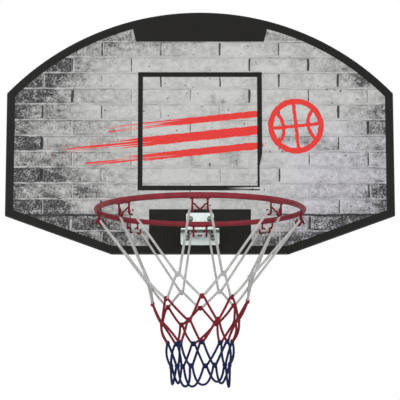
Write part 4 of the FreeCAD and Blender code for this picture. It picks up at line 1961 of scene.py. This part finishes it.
@dataclass(kw_only=True)
class Screws(PanHeads):
    """The wood screws that hold the hangers, four in each."""

    head_radius: float = 0.0035
    head_height: float = 0.0024
    shank_radius: float = 0.00175
    recess_length: float = 0.0040
    recess_width: float = 0.0009
    recess_depth: float = 0.0012
    pitch: float = 0.0012
    threaded: float = 0.0072
    taper: float = 0.0025
    tip_share: float = 0.35
    first_turn: float = 0.4
    next_turn: float = 0.8

    def build(self) -> None:
        """Puts four screws in place of each hanger's solids, with their heads to the wall."""
        wallwards = Matrix.Rotation(-math.pi / 2, 4, "X")
        for heads in (Heads.LEFT_HANGER, Heads.RIGHT_HANGER):
            low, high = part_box(heads.value)
            seat = high.y - self.head_height
            places = []
            for x in (low.x + self.head_radius, high.x - self.head_radius):
                for z in (low.z + self.head_radius, high.z - self.head_radius):
                    turn = Matrix.Rotation(self.first_turn + self.next_turn * len(places), 4, "Z")
                    places.append(Matrix.Translation((x, seat, z)) @ wallwards @ turn)
            self.drive(heads, seat - low.y, places)


@dataclass(kw_only=True)
class Nuts(Fittings):
    """Hexagon nuts with chamfered corners and a countersunk bore."""

    nodes: tuple[str, ...] = ("upper_nuts", "lower_nuts", "clamp_nuts")
    bore_radius: float = 0.00305
    countersink: float = 0.0005
    face_share: float = 0.95
    crown_share: float = 1.05
    chamfer: float = 0.0007
    crease: float = 20.0
    sides: int = 48

    def model(self, width: float, height: float) -> bpy.types.Object:
        """Models one nut, standing on the origin with two corners on the Y axis.

        Args:
            width: Its width across the flats.
            height: Its height.

        Returns:
            The nut.
        """
        corner = width / math.sqrt(3)
        spare = self.countersink
        nut = Bench.turned("nut", [(corner, -spare), (corner, height + spare)], 6)
        flat = self.face_share * width / 2
        wide = self.crown_share * corner
        crown = [(flat, 0.0), (wide, self.chamfer), (wide, height - self.chamfer), (flat, height)]
        Bench.carve(nut, Bench.turned("crown", crown, self.sides), Carving.KEEP_INSIDE)
        mouth = self.bore_radius + self.countersink + spare
        bore = [(mouth, -spare), (self.bore_radius, self.countersink),
                (self.bore_radius, height - self.countersink), (mouth, height + spare)]
        Bench.carve(nut, Bench.turned("bore", bore, self.sides), Carving.TAKE_AWAY)
        return nut

    def build(self) -> None:
        """Puts a pair of nuts in place of each pair of solids."""
        turn = Matrix.Rotation(math.pi / 2, 4, "Z")
        for node in self.nodes:
            low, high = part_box(node)
            middle = (low + high) / 2
            size = high - low
            if size.z < size.y:
                width, height = size.y, size.z
                seat = Vector((0.0, middle.y, low.z))
                tilt = turn
            else:
                width, height = size.z, size.y
                seat = Vector((0.0, high.y, middle.z))
                tilt = Matrix.Rotation(math.pi / 2, 4, "X") @ turn
            across = high.x - width / math.sqrt(3)
            places = []
            for side in (-1, 1):
                place = Matrix.Translation(seat + Vector((side * across, 0.0, 0.0)))
                places.append(place @ tilt)
            piece = Bench.gathered(f"{node}_chamfered", self.model(width, height), places, self.crease)
            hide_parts(node)
            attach(piece, "board")
            self.pieces.append(piece)


@dataclass(kw_only=True)
class Welds(Fittings):
    """The rim's weld beads: one on the tongue and one under the rod at each hook, painted with the rim."""

    centre: Vector
    hooks: int = HOOK_COUNT
    hook_drops: int = 7
    hook_spread: float = 0.0046
    hook_radius: float = 0.0023
    hook_ring: float = 0.1664
    hook_below: float = 0.0038
    tongue_drops: int = 11
    unevenness: float = 0.12
    uneven_turn: float = 2.4
    segments: int = 16
    rings: int = 10
    voxel: float = 0.0005
    smoothing: int = 3

    def bead(self, drops: int, spread: float, radius: float, bend: float) -> bpy.types.Object:
        """Runs a bead of overlapping drops along an arc, with its middle at the origin.

        Args:
            drops: How many drops it has.
            spread: The distance between them.
            radius: A drop's radius.
            bend: The arc's radius, with its centre at +Y.

        Returns:
            The bead.
        """
        made = []
        for number in range(drops):
            bpy.ops.object.select_all(action="DESELECT")
            size = radius * (1 - self.unevenness * (1 + math.sin(self.uneven_turn * number)) / 2)
            angle = (number - (drops - 1) / 2) * spread / bend
            place = (bend * math.sin(angle), bend * (1 - math.cos(angle)), 0.0)
            bpy.ops.mesh.primitive_uv_sphere_add(segments=self.segments, ring_count=self.rings, radius=size,
                                                 location=place)
            bpy.ops.object.transform_apply(location=True)
            made.append(bpy.context.object)
        for drop in made:
            drop.select_set(True)
        bpy.ops.object.join()
        joined = bpy.context.object
        fuse = joined.modifiers.new("fuse", "REMESH")
        fuse.mode = "VOXEL"
        fuse.voxel_size = self.voxel
        bpy.ops.object.modifier_apply(modifier=fuse.name)
        even = joined.modifiers.new("even", "SMOOTH")
        even.iterations = self.smoothing
        bpy.ops.object.modifier_apply(modifier=even.name)
        return joined

    def build(self) -> None:
        """Copies one bead to each hook and puts another in place of the weld's solid."""
        places = []
        for number in range(self.hooks):
            bearing = 2 * math.pi * number / self.hooks
            place = self.centre + outwards(bearing) * self.hook_ring - Vector((0.0, 0.0, self.hook_below))
            places.append(Matrix.Translation(place) @ Matrix.Rotation(bearing, 4, "Z"))
        bead = self.bead(self.hook_drops, self.hook_spread, self.hook_radius, self.hook_ring)
        self.pieces.append(Bench.gathered("hook_welds", bead, places))
        low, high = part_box("rim_weld")
        radius = (high.z - low.z) / 2
        spread = (high.x - low.x - 2 * radius) / (self.tongue_drops - 1)
        back = Vector((0.0, high.y - radius, (low.z + high.z) / 2))
        bead = self.bead(self.tongue_drops, spread, radius, back.y - self.centre.y)
        place = Matrix.Translation(back) @ Matrix.Rotation(math.pi, 4, "Z")
        self.pieces.append(Bench.gathered("rim_weld_bead", bead, [place]))
        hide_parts("rim_weld")
        for piece in self.pieces:
            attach(piece, "board")


# Board, rim and plates

@dataclass
class Hardware:
    """The pieces whose solids show as they are, with the finish of each."""

    hangers: tuple[str, ...] = ("left_hanger", "right_hanger")
    plates: tuple[str, ...] = ("upper_plate", "lower_plate")
    fasteners: tuple[str, ...] = (
        "upper_plate_bolts", "lower_plate_bolts", "clamp_bolts", "clamp_nuts", "upper_washers", "upper_nuts",
        "lower_washers", "lower_nuts", "left_hanger_screws", "right_hanger_screws",
    )
    rod: tuple[str, ...] = ("rim_ring", "rim_weld")
    hook_count: int = HOOK_COUNT
    materials: dict[str, bpy.types.Material] = field(default_factory=dict)

    def dress(self, effects: Effects) -> None:
        """Gives each solid its finish.

        Args:
            effects: The shared effects.
        """
        hooks = tuple(f"net_hook_{number}" for number in range(1, self.hook_count + 1))
        low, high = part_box("edge_band")
        outline = Outline(half_width=high.x, bottom=low.z, top=high.z)
        # The plates' tongues get painted shade in this dark colour.
        plates = TongueShadedZincFinish("zinc_shaded_tongues", srgb(220, 232, 227), tongue_shade=srgb(52, 58, 55), roughness=0.30,
                                  face=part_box("printed_sheet")[0].y, tip=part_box("upper_plate")[0].y)
        finishes = (
            (("board_panel",), FibreboardFinish("fibreboard", srgb(176, 138, 100), fleck=srgb(120, 88, 60))),
            (("printed_sheet",), PrintFinish("printed_face", outline)),
            (("edge_band",), BandFinish("dark_edging", srgb(28, 27, 26), worn=srgb(42, 41, 39))),
            (self.hangers, MetalFinish("zinc_sheet", srgb(222, 230, 226), roughness=0.34)),
            (self.plates, plates),
            (self.fasteners, MetalFinish("zinc_fasteners", srgb(108, 116, 110), roughness=0.34)),
            (self.rod, PaintFinish("rim_enamel", srgb(140, 49, 58), dusty=srgb(104, 40, 49), roughness=0.38)),
            (hooks, PaintFinish("hook_enamel", srgb(122, 30, 46), dusty=srgb(88, 24, 38), roughness=0.42)),
        )
        for nodes, finish in finishes:
            material = finish.build(effects)
            self.materials[material.name] = material
            for node in nodes:
                slots = frame["nodes"][node].data.materials
                slots.clear()
                slots.append(material)
                LOG.info("%s: %s", node, material.name)


# Studio

@dataclass(frozen=True)
class Lamp:
    """A soft square lamp that faces the object: its place, the side of its face and its watts."""

    name: str
    place: Vector
    size: float
    power: float

    def hang(self) -> None:
        """Hangs the lamp."""
        data = bpy.data.lights.new(self.name, "AREA")
        data.size = self.size
        data.energy = self.power
        lamp = bpy.data.objects.new(self.name, data)
        lamp.location = self.place
        lamp.rotation_euler = (-self.place).to_track_quat("-Z", "Y").to_euler()
        lamp.visible_camera = False
        bpy.context.scene.collection.objects.link(lamp)


@dataclass
class Studio:
    """Camera, lamps, floor and white surroundings."""

    face: float
    camera_distance: float = 2.10
    camera_height: float = -0.449
    camera_tilt: float = math.radians(6.18)
    lens: float = 104.84
    lens_shift: float = 0.1235
    floor_drop: float = 0.16
    floor_radius: float = 6.0
    floor_sides: int = 96
    floor_colour: Colour = (0.84, 0.84, 0.84, 1.0)
    floor_roughness: float = 0.9
    floor_glow: float = 0.45
    floor_fade: Span = (0.25, 0.8)
    sky: float = 0.34
    lamps: tuple[Lamp, ...] = (
        Lamp("key", Vector((-2.2, -4.0, 1.2)), 2.0, 68.0),
        Lamp("fill", Vector((2.4, -4.0, 0.8)), 2.0, 48.0),
        Lamp("front", Vector((0.0, -4.4, -0.12)), 0.8, 17.0),
        Lamp("back", Vector((0.4, 1.9, 1.6)), 1.4, 18.0),
    )

    def build(self, lowest: float) -> None:
        """Sets up the studio.

        Args:
            lowest: The height of the object's lowest point.
        """
        self._camera()
        self._world()
        self._floor(lowest - self.floor_drop)
        for lamp in self.lamps:
            lamp.hang()

    def _camera(self) -> None:
        """Places the camera in front of the board, low, looking up a little."""
        data = bpy.data.cameras.new("camera")
        data.lens = self.lens
        data.shift_y = self.lens_shift
        camera = bpy.data.objects.new("camera", data)
        camera.location = (0.0, self.face - self.camera_distance, self.camera_height)
        camera.rotation_euler = (math.pi / 2 + self.camera_tilt, 0.0, 0.0)
        bpy.context.scene.collection.objects.link(camera)
        bpy.context.scene.camera = camera

    def _world(self) -> None:
        """Surrounds the object with even light that looks white itself."""
        world = bpy.data.worlds.new("surroundings")
        world.use_nodes = True
        graph = Graph(world.node_tree)
        graph.tree.nodes.clear()
        sky = graph.node("ShaderNodeBackground")
        graph.feed(sky.inputs["Strength"], graph.seen() * (1.0 - self.sky) + self.sky)
        sky.inputs["Color"].default_value = (1.0, 1.0, 1.0, 1.0)
        output = graph.node("ShaderNodeOutputWorld")
        graph.feed(output.inputs["Surface"], sky.outputs[0])
        bpy.context.scene.world = world

    def _floor(self, height: float) -> None:
        """Lays a pale round floor that fades into the white surroundings.

        Args:
            height: Its height.
        """
        bpy.ops.object.select_all(action="DESELECT")
        bpy.ops.mesh.primitive_circle_add(vertices=self.floor_sides, radius=self.floor_radius,
                                          fill_type="NGON")
        floor = bpy.context.object
        floor.name = "floor"
        floor.data.transform(Matrix.Translation((0.0, 0.0, height)))
        finish = Finish("pale_floor")
        finish.set(Base_Color=self.floor_colour, Roughness=self.floor_roughness)
        graph = finish.graph
        away = (finish.x * finish.x + finish.y * finish.y).root() / self.floor_radius
        white = graph.fade(away, *self.floor_fade) * (1.0 - self.floor_glow) + self.floor_glow
        glow = graph.node("ShaderNodeEmission")
        blend = graph.node("ShaderNodeMixShader")
        graph.feed(blend.inputs[0], white * graph.seen())
        graph.feed(blend.inputs[1], finish.shader.outputs[0])
        graph.feed(blend.inputs[2], glow.outputs[0])
        graph.feed(finish.output.inputs["Surface"], blend.outputs[0])
        floor.data.materials.append(finish.material)


def main() -> None:
    """Builds and dresses the backboard, then its studio."""
    logging.basicConfig(level=logging.INFO, format="%(name)s: %(message)s")
    bpy.context.scene.view_settings.view_transform = "Standard"
    effects = Effects()
    hardware = Hardware()
    hardware.dress(effects)
    low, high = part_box("rim_ring")
    rim_centre = (low + high) / 2
    net = Net(centre=rim_centre)
    net.build()
    net.dress(effects)
    net.hang()
    pieces = list(net.pieces.values())
    zinc = hardware.materials["zinc_fasteners"]
    enamel = hardware.materials["rim_enamel"]
    fitted = ((Bolts(), zinc), (Screws(), zinc), (Nuts(), zinc), (Welds(centre=rim_centre), enamel))
    for fittings, material in fitted:
        fittings.build()
        fittings.dress(material)
        pieces += fittings.pieces
    for piece in pieces:
        LOG.info("%s: %d faces", piece.name, len(piece.data.polygons))
    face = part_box("printed_sheet")[0].y
    Studio(face=face).build(CAD_BOX[0].z)


if __name__ == "__main__":
    main()
